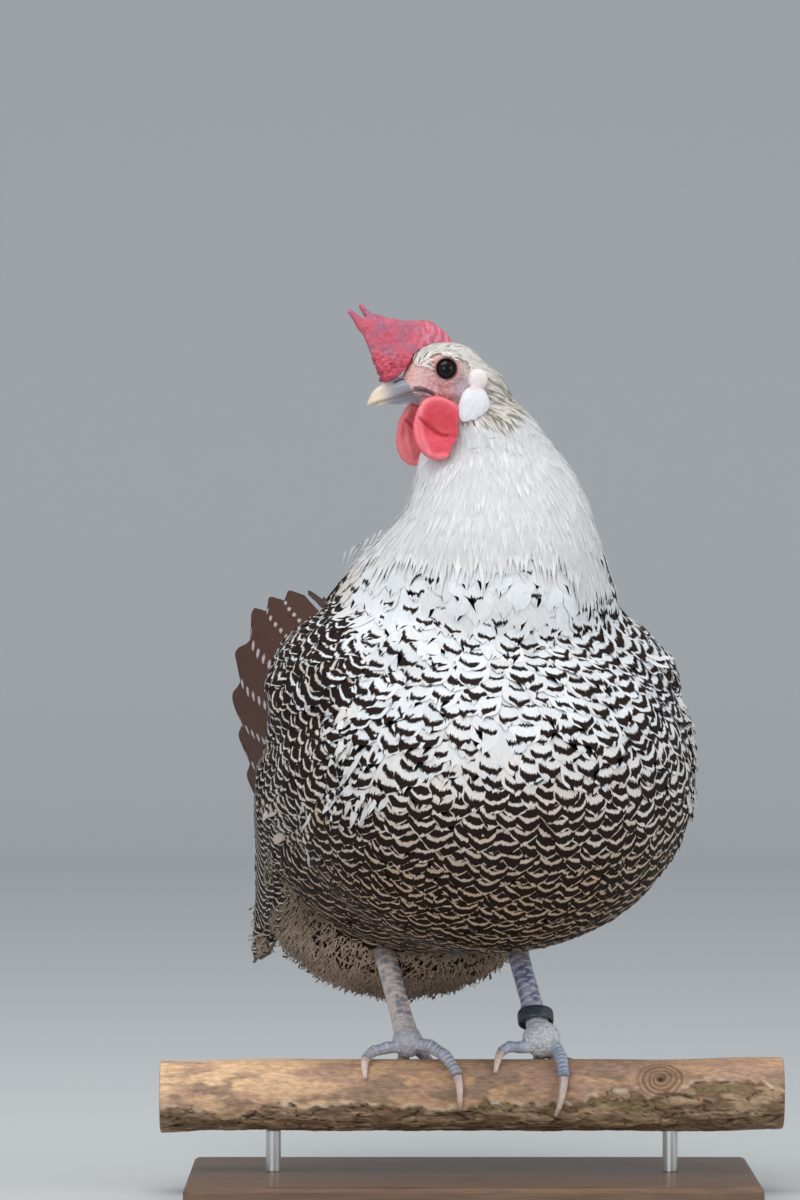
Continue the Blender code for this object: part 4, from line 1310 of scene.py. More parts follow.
eye_finish = toned("eye", 0.04, 2.0, 0.05, 0.0, IOR=1.36, Specular_IOR_Level=0.35)
for side, sign in (("left", 1), ("right", -1)):
    bpy.ops.object.select_all(action="DESELECT")
    bpy.ops.mesh.primitive_uv_sphere_add(segments=48, ring_count=32, radius=EYE_RADIUS)
    ball = bpy.context.object
    ball.name = ball.data.name = f"eyeball_{side}"
    axis = Vector((sign * EYE_AXIS.x, EYE_AXIS.y, EYE_AXIS.z))
    ball.data.transform(axis.to_track_quat("Z", "Y").to_matrix().to_4x4())
    tones = []
    for vertex in ball.data.vertices:
        r = (vertex.co - axis * vertex.co.dot(axis)).length if vertex.co.dot(axis) > 0 else 9
        tone = Vector((0.002, 0.002, 0.002)).lerp(Vector((0.012, 0.006, 0.004)), smoothstep(2.6, 3.1, r))
        tones.append(tone.lerp(Vector((0.006, 0.004, 0.004)), smoothstep(3.9, 4.5, r)))
        vertex.co += axis * 0.15 * smoothstep(4.4, 1.0, r)
    tint(ball.data, tones)
    ball.data.transform(Matrix.Translation((sign * EYE_PLACE.x, EYE_PLACE.y, EYE_PLACE.z)))
    ball.data.transform(HEN @ HEAD)
    ball.data.polygons.foreach_set("use_smooth", [True] * len(ball.data.polygons))
    ball.data.materials.append(eye_finish)
    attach(ball, "root")
    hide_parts(f"eye_{side}")

# ---------------------------------------------------------------- comb, wattles and ear lobes
# Soft bare flesh. The comb is thick, creased and folded at its foot over the bill, and thin and pimpled
# above. The wattles are dished leaves with a rolled rim and one deep crease. The white lobes are puckered.


def fleshy(name, node, voxel, shaped, toned_at, finish, moved, settled_from=None):
    """A finer form of a fleshy solid, with its folds and its tones worked out in the head's frame."""
    mesh = run_together(name, [node], voxel, 5)
    tones = []
    for vertex, normal in zip(mesh.vertices, [v.normal.copy() for v in mesh.vertices]):
        here, outward = TO_HEAD @ vertex.co, turned.inverted() @ normal
        tones.append(toned_at(here, outward))
        vertex.co += normal * shaped(here, outward)
        vertex.co += turned @ moved(here)
    tint(mesh, tones)
    if settled_from is not None:
        cage = bmesh.new()
        cage.from_mesh(mesh)
        evened(cage, [v for v in cage.verts if (TO_HEAD @ v.co).y > settled_from], 14)
        cage.to_mesh(mesh)
        cage.free()
    mesh.transform(HEN)
    mesh.polygons.foreach_set("use_smooth", [True] * len(mesh.polygons))
    mesh.materials.append(finish)
    piece = bpy.data.objects.new(name, mesh)
    bpy.context.scene.collection.objects.link(piece)
    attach(piece, "root")
    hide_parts(node)


flesh_finish = toned(
    "comb_flesh", 0.42, 0.7, 0.12, 0.35, Subsurface_Weight=0.12, Subsurface_Scale=0.003, Coat_Weight=0.08
)


def comb_shape(here, outward):
    """How far the comb's skin stands out: deep creases and folds at its foot, veins and pimples above."""
    low = smoothstep(12, 1, here.z) * smoothstep(-8, -20, here.y)
    folds = noise.noise(Vector((here.y * 0.30, here.z * 0.36, here.x * 0.2)))
    creases = 0.5 - abs(noise.noise(Vector((here.y * 0.36 + 7, here.z * 0.5, here.x * 0.2)))) * 2.2
    veins = abs(noise.noise(Vector((here.y * 0.55, here.z * 0.28, 11.0))))
    pimples = noise.noise(here * 1.1)
    foot, blade = 1.3 * creases + 0.6 * folds, 0.35 * folds - 0.35 * veins
    return 0.25 + low * foot + (1 - low) * blade + 0.14 * pimples


def comb_tone(here, outward):
    """Crimson, deeper at the foot, with a greyish bloom, and a painted sheen in pale patches towards the
    crown.
    """
    crimson, deep = Vector((0.56, 0.085, 0.135)), Vector((0.50, 0.012, 0.045))
    bloom, pale = Vector((0.34, 0.115, 0.19)), Vector((0.74, 0.25, 0.33))
    low = smoothstep(11, 1, here.z) * smoothstep(-10, -20, here.y)
    tone = crimson.lerp(deep, low * 0.75)
    grey = 1.6 * noise.noise(Vector((here.y * 0.13, here.z * 0.16, 3.0))) + 0.25
    tone = tone.lerp(bloom, max(0.0, min(0.9, grey)) * (1 - 0.8 * low))
    # painted sheen: pale patches that lighten the comb towards the crown
    sheen = noise.noise(Vector((here.y * 0.5, here.z * 0.22, 1.0))) + 0.15
    tone = tone.lerp(pale, 0.75 * smoothstep(-17, -6, here.y) * smoothstep(0.0, 0.4, sheen))
    speck = noise.noise(Vector((here.y * 1.7, here.z * 0.9, 2.0)))
    tone = tone.lerp(pale, 0.26 * smoothstep(0.0, 0.45, speck))
    tone = tone.lerp(bloom * 0.7, 0.35 * smoothstep(0.05, 0.45, -speck))
    return tone


def comb_moved(here):
    """The foot is drawn up a little, clear of the nostrils, and the top falls away to the crown behind."""
    lifted = 1.8 * smoothstep(5, -5, here.z) * smoothstep(-13, -19, here.y)
    return Vector((0, 0, lifted - 4.2 * smoothstep(-6, 6, here.y) * smoothstep(8, 22, here.z)))


fleshy("comb_flesh", "comb", 0.0007, comb_shape, comb_tone, flesh_finish, comb_moved)

# y and z of the middle in the head's frame, then half the width and half the height
WATTLE_MIDDLE = {"left": (-6.2, -32.0, 13.4, 17.5), "right": (-9.5, -34.0, 11.5, 17.5)}
WATTLE_CREASE = ((-15.6, -27.2), (-12.0, -30.0), (-8.0, -33.6), (-4.5, -36.0), (-0.8, -36.2), (3.5, -34.6))
WATTLE_FOLD = ((-11.5, -16), (-14.8, -22), (-15.4, -30), (-14.2, -39), (-11.5, -46))
WATTLE_REAR = -1.0  # behind this the edge is evened out, where the solid meets the throat


def wattle_moved(here):
    """The rear edges stand off the throat."""
    out = 1.4 + 0.30 * max(0.0, here.y + 8)
    round_back = math.sqrt(max(0.0, 1 - ((here.z + 31) / 17.5) ** 2))
    return Vector((math.copysign(out, here.x), 4.4 * round_back * smoothstep(-5, 4, here.y), 0))


for side, (cy, cz, ry, rz) in WATTLE_MIDDLE.items():

    def wattle_shape(here, outward):
        e = math.hypot((here.y - cy) / ry, (here.z - cz) / rz)
        rim = math.exp(-(((e - 0.86) / 0.07) ** 2)) * smoothstep(-0.8, 0.0, (here.y - cy) / ry)
        dish = smoothstep(0.80, 0.60, e) * smoothstep(-40, -33, here.z)
        belly = math.exp(-(((here.y - cy + 3) / 7) ** 2) - ((here.z - cz + 8) / 5) ** 2)
        groove, fold = from_line(WATTLE_CREASE, here.y, here.z), from_line(WATTLE_FOLD, here.y, here.z)
        crease, lip = math.exp(-((groove / 0.7) ** 2)), math.exp(-(((groove - 1.7) / 0.9) ** 2))
        wrinkle = noise.noise(Vector((here.y * 0.5, here.z * 0.3, 4.0)))
        wrinkle *= 0.3 + 0.5 * smoothstep(-36, -46, here.z)
        grain = noise.noise(here * 1.2)
        form = 1.3 * rim - 1.2 * dish + 0.8 * belly - 1.4 * crease + 0.5 * lip
        form += 0.9 * math.exp(-((fold / 1.2) ** 2))
        return 0.1 + abs(outward.x) * form + 0.55 * wrinkle + 0.10 * grain

    def wattle_tone(here, outward):
        red, deep, light = (Vector(c) for c in ((0.72, 0.06, 0.10), (0.45, 0.006, 0.022), (0.84, 0.24, 0.27)))
        if side == "right":
            red, deep = Vector((0.80, 0.16, 0.18)), Vector((0.62, 0.06, 0.09))
        e = math.hypot((here.y - cy) / ry, (here.z - cz) / rz)
        # painted shade darkens the dished middle and the crease, and painted highlights lighten the rolled rim
        # and the raised fold
        tone = red.lerp(deep, 0.75 * smoothstep(0.82, 0.5, e) * smoothstep(-42, -30, here.z))
        tone = tone.lerp(light, 0.6 * math.exp(-(((e - 0.88) / 0.09) ** 2)))
        tone = tone.lerp(light, 0.5 * math.exp(-((from_line(WATTLE_FOLD, here.y, here.z) / 1.3) ** 2)))
        tone = tone.lerp(deep, 0.9 * math.exp(-((from_line(WATTLE_CREASE, here.y, here.z) / 0.9) ** 2)))
        mottle = noise.noise(Vector((here.y * 1.4, here.z * 1.1, 1.0)))
        return tone.lerp(light, 0.12 * smoothstep(0.0, 0.5, mottle))

    fleshy(
        f"wattle_flesh_{side}",
        f"wattle_{side}",
        voxel=0.0008,
        shaped=wattle_shape,
        toned_at=wattle_tone,
        finish=flesh_finish,
        moved=wattle_moved,
        settled_from=WATTLE_REAR,
    )

lobe_finish = toned("ear_lobe", 0.5, 1.4, 0.04, 0.12, Subsurface_Weight=0.15, Subsurface_Scale=0.003)


def lobe_shape(here, outward):
    """Fine puckers that fan out from the lobe's middle, fuller round its waist."""
    fan = math.atan2(here.z + 9, here.y - 16)
    reach = math.hypot(here.y - 16, here.z + 9)
    pucker = math.sin(fan * 21 + 2.5 * noise.noise(here * 0.25)) * smoothstep(3, 8, reach)
    side_on = 1 - abs(outward.x)
    waist = math.exp(-(((here.z + 11.0) / 2.6) ** 2)) * smoothstep(0.3, 0.9, side_on)
    crease = abs(noise.noise(Vector((here.y * 0.42 + here.z * 0.12, here.z * 0.16, 8.0))))
    height = 0.3 + 0.12 * pucker + 0.9 * waist - 0.22 * smoothstep(0.10, 0.0, crease)
    return height + 0.15 * noise.noise(here * 0.2)


def lobe_tone(here, outward):
    """Cream above, bluish white below, and pink in the waist between."""
    white = Vector((0.76, 0.70, 0.67)).lerp(Vector((0.71, 0.725, 0.745)), smoothstep(-8, -13, here.z))
    tone = white.lerp(Vector((0.62, 0.42, 0.45)), 0.75 * math.exp(-(((here.z + 10.8) / 1.2) ** 2)))
    return tone.lerp(Vector((0.74, 0.68, 0.74)), 0.4 * smoothstep(0.0, 0.4, noise.noise(here * 0.4)))


def lobe_moved(here):
    """The lower part hangs further down and forwards."""
    low = smoothstep(-17, -28, here.z)
    return Vector((math.copysign(1.0, here.x), -1.6 * low, -2.4 * low))


for side in ("left", "right"):
    fleshy(
        f"ear_lobe_{side}",
        f"earlobe_{side}",
        voxel=0.0008,
        shaped=lobe_shape,
        toned_at=lobe_tone,
        finish=lobe_finish,
        moved=lobe_moved,
    )

# ---------------------------------------------------------------- bill
# A short stout horn bill: the upper half hooks over the lower, is blue-grey at its root and pale at its tip,
# and has a slit of a nostril on each side.

BILL_UPPER = [  # y, half width, height of the ridge, height of the cutting edge
    (-8, 7.6, -3.0, -11.2),
    (-15, 6.9, -3.9, -12.0),
    (-22, 5.9, -4.7, -14.2),
    (-28, 4.8, -6.4, -16.2),
    (-33, 3.6, -9.2, -17.4),
    (-36.6, 2.3, -12.6, -18.6),
    (-38.8, 1.0, -16.8, -19.6),
    (-39.6, 0.25, -18.8, -19.8),
]
BILL_LOWER = [
    (-8, 6.4, -12.0, -18.0),
    (-16, 5.6, -13.0, -18.6),
    (-23, 4.4, -15.2, -19.4),
    (-29, 2.9, -17.0, -20.0),
    (-33.5, 1.1, -18.0, -20.0),
    (-34.6, 0.3, -18.8, -19.6),
]


def spline(rows, t):
    """A row between the rows, on a smooth curve through them, at t from 0 to 1."""
    at = t * (len(rows) - 1)
    i = min(int(at), len(rows) - 2)
    k = at - i
    four = [rows[max(0, min(len(rows) - 1, j))] for j in (i - 1, i, i + 1, i + 2)]
    return [
        0.5 * (2 * b + (c - a) * k + (2 * a - 5 * b + 4 * c - d) * k**2 + (3 * b - a - 3 * c + d) * k**3)
        for a, b, c, d in zip(*four)
    ]


horn_finish = toned("horn", 0.3, 0.7, 0.06, 0.08, Coat_Weight=0.25, Coat_Roughness=0.2)


def nostril(y, z):
    """How far a point is from the slit of the nostril."""
    return from_line(((-25.5, -7.6), (-22.5, -6.2), (-19.0, -5.6)), y, z)


for name, rows, upside in (("bill_upper", BILL_UPPER, 1), ("bill_lower", BILL_LOWER, -1)):
    bpy.ops.object.select_all(action="DESELECT")
    bpy.ops.mesh.primitive_grid_add(x_subdivisions=56, y_subdivisions=64, size=2)
    horn = bpy.context.object
    horn.name = horn.data.name = f"horn_{name}"
    tones = []
    for vertex in horn.data.vertices:
        around, t = (vertex.co.x + 1) * math.pi, (1 - vertex.co.y) / 2
        y, half, high, low = spline(rows, t)
        middle, tall = (low, high - low) if upside > 0 else (high, low - high)
        arch = abs(math.sin(around / 2)) ** 0.8
        x, z = half * math.cos(around / 2) * (1 - 0.12 * arch), middle + tall * arch
        slit = nostril(y, z) if upside > 0 else 9
        if slit < 3 and abs(x) > 1:
            dent = 0.9 * math.exp(-((slit / 0.55) ** 2)) - 0.5 * math.exp(-(((slit - 1.5) / 0.7) ** 2))
            x -= math.copysign(dent, x)
        vertex.co = Vector((x, y, z))
        tip = smoothstep(-24, -36, y)
        tone = Vector((0.235, 0.245, 0.29)).lerp(Vector((0.70, 0.58, 0.42)), tip)
        # painted highlight: the top ridge of the bill is lightened towards its root
        ridge = smoothstep(0.62, 0.95, arch) * smoothstep(-10, -20, y)
        tone = tone.lerp(Vector((0.60, 0.61, 0.65)), 0.75 * ridge * (1 - 0.6 * tip))
        dusky = 0.8 * smoothstep(0.45, 0.05, arch) * smoothstep(-32, -18, y)
        amber = 0.5 * smoothstep(0.4, 0.0, arch) * smoothstep(-31, -36, y)
        tone = tone.lerp(Vector((0.16, 0.12, 0.13)), dusky)
        tone = tone.lerp(Vector((0.50, 0.30, 0.15)), amber)
        tone *= 1 + 0.18 * noise.noise(Vector((x * 0.4, y * 0.18, z * 1.3)))
        # painted shade: the dented slit of the nostril darkens to near black
        tone = tone.lerp(Vector((0.02, 0.015, 0.02)), math.exp(-((slit / 0.6) ** 2)))
        tones.append(tone)
    tint(horn.data, tones)
    cage = bmesh.new()
    cage.from_mesh(horn.data)
    bmesh.ops.remove_doubles(cage, verts=cage.verts, dist=0.02)
    rims = [e for e in cage.edges if e.is_boundary]
    bmesh.ops.holes_fill(cage, edges=rims, sides=0)
    bmesh.ops.recalc_face_normals(cage, faces=cage.faces)
    cage.to_mesh(horn.data)
    cage.free()
    horn.data.transform(HEN @ HEAD)
    horn.data.polygons.foreach_set("use_smooth", [True] * len(horn.data.polygons))
    horn.data.materials.append(horn_finish)
    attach(horn, "root")
    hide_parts(name)

# ---------------------------------------------------------------- feet
# Shank and toes are one scaled skin on each foot. Broad plates overlap towards the toes down the front of the
# shank and along the top of each toe, and small rounded scales cover the sides, the soles and the joints.

TO_PERCH = PERCH_FRAME.inverted() @ HEN
PERCH_RADIUS = 18.8
TOE_RADIUS = 3.6
SHANK_LENGTH, SHANK_STEPS, TOE_STEPS = 62, 80, 60
SHANK_PITCH, TOE_PITCH = 4.4, 2.5  # from one plate to the next
SPUR = Vector((25.5, 8.6, 25.6))  # the bud on the left shank
ANKLES = {"right": Vector((-34, 2, 10.2)), "left": Vector((37, 2, 10.2))}
SHANK_LEAN = Vector((-0.275, 0.589, 1.0))
TOES = {  # along the perch, turned round it from its top towards the front in degrees, and lifted off it
    "right": (
        ((3, 4, 4), (12, 13, 3.5), (20, 28, 1), (26, 58, 0), (27.5, 84, 0)),
        ((-4, 4, 3), (-11, 8, 2.5), (-18, 13, 1.5), (-22, 28, 0.3), (-22.8, 45, 0)),
        ((3, -14, 3), (8, -28, 1), (11, -44, 0), (12.5, -58, 0), (13, -72, 0)),
        ((0, -16, 3), (-2, -36, 1), (-4, -58, 0), (-6, -80, 0), (-7, -98, 0)),
    ),
    "left": (
        ((2, 4, 4), (7, 12, 3), (10, 30, 0.6), (11.2, 60, 0), (10.2, 90, 0)),
        ((-4, 4, 3), (-11, 5, 2.5), (-17, 8, 3.5), (-21.5, 16, 1.8), (-23.6, 34, 0.3)),
        ((2, -18, 3), (5, -30, 1.5), (8, -38, 0.5), (11, -41, 0), (14, -38, 0)),
        ((0, -16, 3), (-1, -36, 1), (-2, -58, 0), (-3, -80, 0), (-4, -98, 0)),
    ),
}
TOE_NAMES = ("middle", "inner", "outer", "hind")
PALE_SCALE, SLATE_SCALE = Vector((0.60, 0.60, 0.64)), Vector((0.20, 0.235, 0.33))


def cells(place, size):
    """How deep in the groove between small rounded scales a place is, from 0 to 1."""
    near = noise.voronoi(place / size)[0]
    return smoothstep(0.22, 0.04, near[1] - near[0])


scale_finish = toned("leg_scales", 0.42, 0.5, 0.12, 0.06, Coat_Weight=0.1)
for side, ankle in ANKLES.items():
    top, bottom = ankle + SHANK_LEAN * SHANK_LENGTH, ankle - SHANK_LEAN * 2
    routes = [[top.lerp(bottom, i / SHANK_STEPS) for i in range(SHANK_STEPS + 1)]]
    for knots in TOES[side]:
        route = [ankle + Vector((0, -1, -3))]
        for i in range(TOE_STEPS + 1):
            x, turn, lift = spline(knots, i / TOE_STEPS)
            angle, reach = math.radians(turn), PERCH_RADIUS + TOE_RADIUS + lift
            y, z = -reach * math.sin(angle), -PERCH_RADIUS + reach * math.cos(angle)
            route.append(Vector((ankle.x + x, y, z)))
        routes.append(route)
    line, kinds, gone, heads = [], [], [], []
    for kind, route in enumerate(routes):
        far = 0.0
        for one, other in zip(route, route[1:]):
            line.append(one)
            kinds.append(kind)
            gone.append(far)
            heads.append((other - one).normalized())
            far += (other - one).length
    nodes = [f"shank_{side}"] + [f"toe_{side}_{name}" for name in TOE_NAMES]
    mesh = run_together(f"foot_{side}", nodes, 0.00062, 7)
    mesh.transform(TO_PERCH)
    places = np.array([v.co for v in mesh.vertices])
    points = np.array(line)
    nearest = np.concatenate(
        [((chunk[:, None] - points[None]) ** 2).sum(2).argmin(1) for chunk in np.array_split(places, 40)]
    )
    tones = []
    for vertex, normal, at in zip(mesh.vertices, [v.normal.copy() for v in mesh.vertices], nearest):
        here, at = vertex.co.copy(), int(at)
        out = here - line[at]
        out = (out - heads[at] * out.dot(heads[at])).normalized()
        shank = kinds[at] == 0
        if shank:
            front = Vector((0.05, -1, 0.55)).normalized()
            pitch = SHANK_PITCH
        else:
            front = Vector((0, here.y, here.z + PERCH_RADIUS)).normalized()
            pitch = TOE_PITCH
        plate = smoothstep(0.05, 0.45, out.dot(front))
        cycle = (gone[at] + (here - line[at]).dot(heads[at])) / pitch + 0.25 * noise.noise(here * 0.25)
        if shank:
            cycle += 0.5 if out.cross(front).dot(heads[at]) > 0.1 else 0.0
        part = cycle % 1.0
        ridge = 0.34 * part**0.7 - 0.10
        groove = math.exp(-((min(part, 1 - part) / 0.13) ** 2))
        crack = cells(here, 2.4 if shank else 1.9)
        joint = smoothstep(13.5, 9.5, (here - ankle - Vector((0, -1, 0.5))).length)
        plate *= 1 - joint * (1.0 if side == "left" else 0.4)
        relief = plate * (ridge - 0.30 * groove) + (1 - plate) * (0.12 - 0.34 * crack)
        relief += 0.25 * joint * noise.noise(here * 0.5)
        if side == "left":
            relief += 3.0 * math.exp(-(((here - SPUR).length / 2.3) ** 2))
        vertex.co += normal * relief
        blotch = noise.noise(here * 0.22) + 0.5 * noise.noise(here * 0.7)
        if shank and side == "right":
            slaty = plate * (0.25 + 0.75 * smoothstep(-0.15, 0.35, blotch)) * (1 - 0.5 * groove)
            tone = Vector((0.66, 0.55, 0.49)).lerp(Vector((0.27, 0.27, 0.31)), slaty)
            tone = tone.lerp(Vector((0.30, 0.28, 0.30)), (1 - plate) * 0.5 * crack)
        elif shank:
            slaty = plate * (0.35 + 0.65 * smoothstep(-0.2, 0.2, blotch)) * (1 - 0.8 * groove)
            tone = Vector((0.50, 0.47, 0.56)).lerp(Vector((0.12, 0.15, 0.25)), slaty)
            tone = tone.lerp(Vector((0.26, 0.25, 0.33)), (1 - plate) * 0.6 * crack)
        else:
            if side == "left":
                blue = SLATE_SCALE * (1.5 + 0.5 * blotch)
            else:
                blue = SLATE_SCALE.lerp(Vector((0.33, 0.31, 0.35)), 0.55) * (1.25 + 0.5 * blotch)
            tone = blue.lerp(PALE_SCALE, plate * 0.75 * groove + (1 - plate) * 0.35)
            tone = tone.lerp(Vector((0.22, 0.20, 0.23)), (1 - plate) * 0.55 * crack)
        chalky = Vector((0.66, 0.68, 0.70)) if side == "left" else Vector((0.50, 0.50, 0.54))
        tone = tone.lerp(chalky * (1 - 0.35 * crack), joint * (0.92 if side == "left" else 0.5))
        # painted shade: the top of each shank darkens to brown where it goes up under the feathers
        upper = smoothstep(46, 60, here.z)
        tones.append(tone.lerp(Vector((0.16, 0.12, 0.10)), upper))
    tint(mesh, tones)
    mesh.transform(PERCH_FRAME)
    mesh.polygons.foreach_set("use_smooth", [True] * len(mesh.polygons))
    mesh.materials.append(scale_finish)
    foot = bpy.data.objects.new(f"foot_{side}", mesh)
    bpy.context.scene.collection.objects.link(foot)
    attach(foot, "root")
    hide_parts(*nodes)
    for name in TOE_NAMES:
        mesh = run_together(f"nail_{side}_{name}", [f"claw_{side}_{name}"], 0.0003, 6)
        mesh.transform(TO_PERCH)
        middle = sum((v.co for v in mesh.vertices), Vector()) / len(mesh.vertices)
        low, high = min(v.co.z for v in mesh.vertices), max(v.co.z for v in mesh.vertices)
        tones = []
        for vertex, normal in zip(mesh.vertices, [v.normal.copy() for v in mesh.vertices]):
            share = (high - vertex.co.z) / (high - low)
            rough = noise.noise(Vector((vertex.co.x * 2.5, vertex.co.y * 2.5, vertex.co.z * 0.5)))
            vertex.co += normal * (0.25 + 0.06 * rough)
            tone = Vector((0.50, 0.39, 0.37)).lerp(Vector((0.72, 0.56, 0.47)), smoothstep(0.0, 0.45, share))
            tone = tone.lerp(Vector((0.58, 0.43, 0.36)), smoothstep(0.7, 1.0, share))
            grain = noise.noise(Vector((vertex.co.x * 1.6, vertex.co.y, vertex.co.z * 0.3)))
            tones.append(tone * (1 + 0.25 * grain))
        tint(mesh, tones)
        mesh.transform(PERCH_FRAME)
        mesh.polygons.foreach_set("use_smooth", [True] * len(mesh.polygons))
        mesh.materials.append(horn_finish)
        nail = bpy.data.objects.new(f"nail_{side}_{name}", mesh)
        bpy.context.scene.collection.objects.link(nail)
        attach(nail, "root")
        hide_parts(f"claw_{side}_{name}")

# ---------------------------------------------------------------- leg ring
# A plain dark plastic band round the left shank. It hangs loose and tipped on the swollen joint.

BAND_RADIUS, BAND_WALL, BAND_HEIGHT = 8.9, 1.44, 7.0
BAND_UP = 13.2  # from the ankle, along the shank

bpy.ops.object.select_all(action="DESELECT")
bpy.ops.mesh.primitive_torus_add(
    major_segments=96, minor_segments=24, major_radius=BAND_RADIUS, minor_radius=BAND_WALL / 2
)
band = bpy.context.object
band.name = band.data.name = "ring_band"
for vertex in band.data.vertices:
    share = max(-1.0, min(1.0, vertex.co.z / (BAND_WALL / 2)))
    vertex.co.z = math.copysign(abs(share) ** 0.55, share) * (BAND_HEIGHT / 2)
lean = SHANK_LEAN.normalized()
tip = lean.to_track_quat("Z", "Y").to_matrix().to_4x4()
tip = tip @ Matrix.Rotation(math.radians(-6), 4, "X") @ Matrix.Rotation(math.radians(-9), 4, "Y")
seat = Matrix.Translation(ANKLES["left"] + SHANK_LEAN * BAND_UP / SHANK_LEAN.length)
band.data.transform(PERCH_FRAME @ seat @ tip)
ring_low, ring_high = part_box("leg_ring")
band_middle = sum((v.co for v in band.data.vertices), Vector()) / len(band.data.vertices)
band.data.transform(Matrix.Translation((ring_low + ring_high) / 2 - band_middle))
band.data.polygons.foreach_set("use_smooth", [True] * len(band.data.polygons))
ring_finish, tree, shader = new_finish("ring_plastic", 0.42)
where = put(tree, "ShaderNodeTexCoord").outputs["Object"]
wear = noise_of(tree, where, 900.0, 4.0, Roughness=0.7)
worn = put(tree, "ShaderNodeMapRange", {0: wear, 1: 0.5, 2: 0.75, 3: 0.0, 4: 0.5}).outputs[0]
tree.links.new(blend_of(tree, worn, (0.020, 0.030, 0.045), (0.16, 0.18, 0.21)), shader.inputs["Base Color"])
bumped(tree, shader, wear, 0.00008, 0.6)
band.data.materials.append(ring_finish)
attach(band, "root")
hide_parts("leg_ring")

# ---------------------------------------------------------------- perch
# A short sawn length of branch. Most of its bark is worn away on top, where the wood is smooth and tan, and
# rough brown bark peels in plates below. A grown-over knot shows near its right end.

HALF_BRANCH = 165
KNOT_X, KNOT_TURN = 99.6, 60  # along the perch, and in degrees round it from its top
KNOT_EDGE = 12.5
CAP_SHARE = 0.035  # of the grid's rows, which make each sawn end
YEAR = 1.55  # from one year's ring to the next

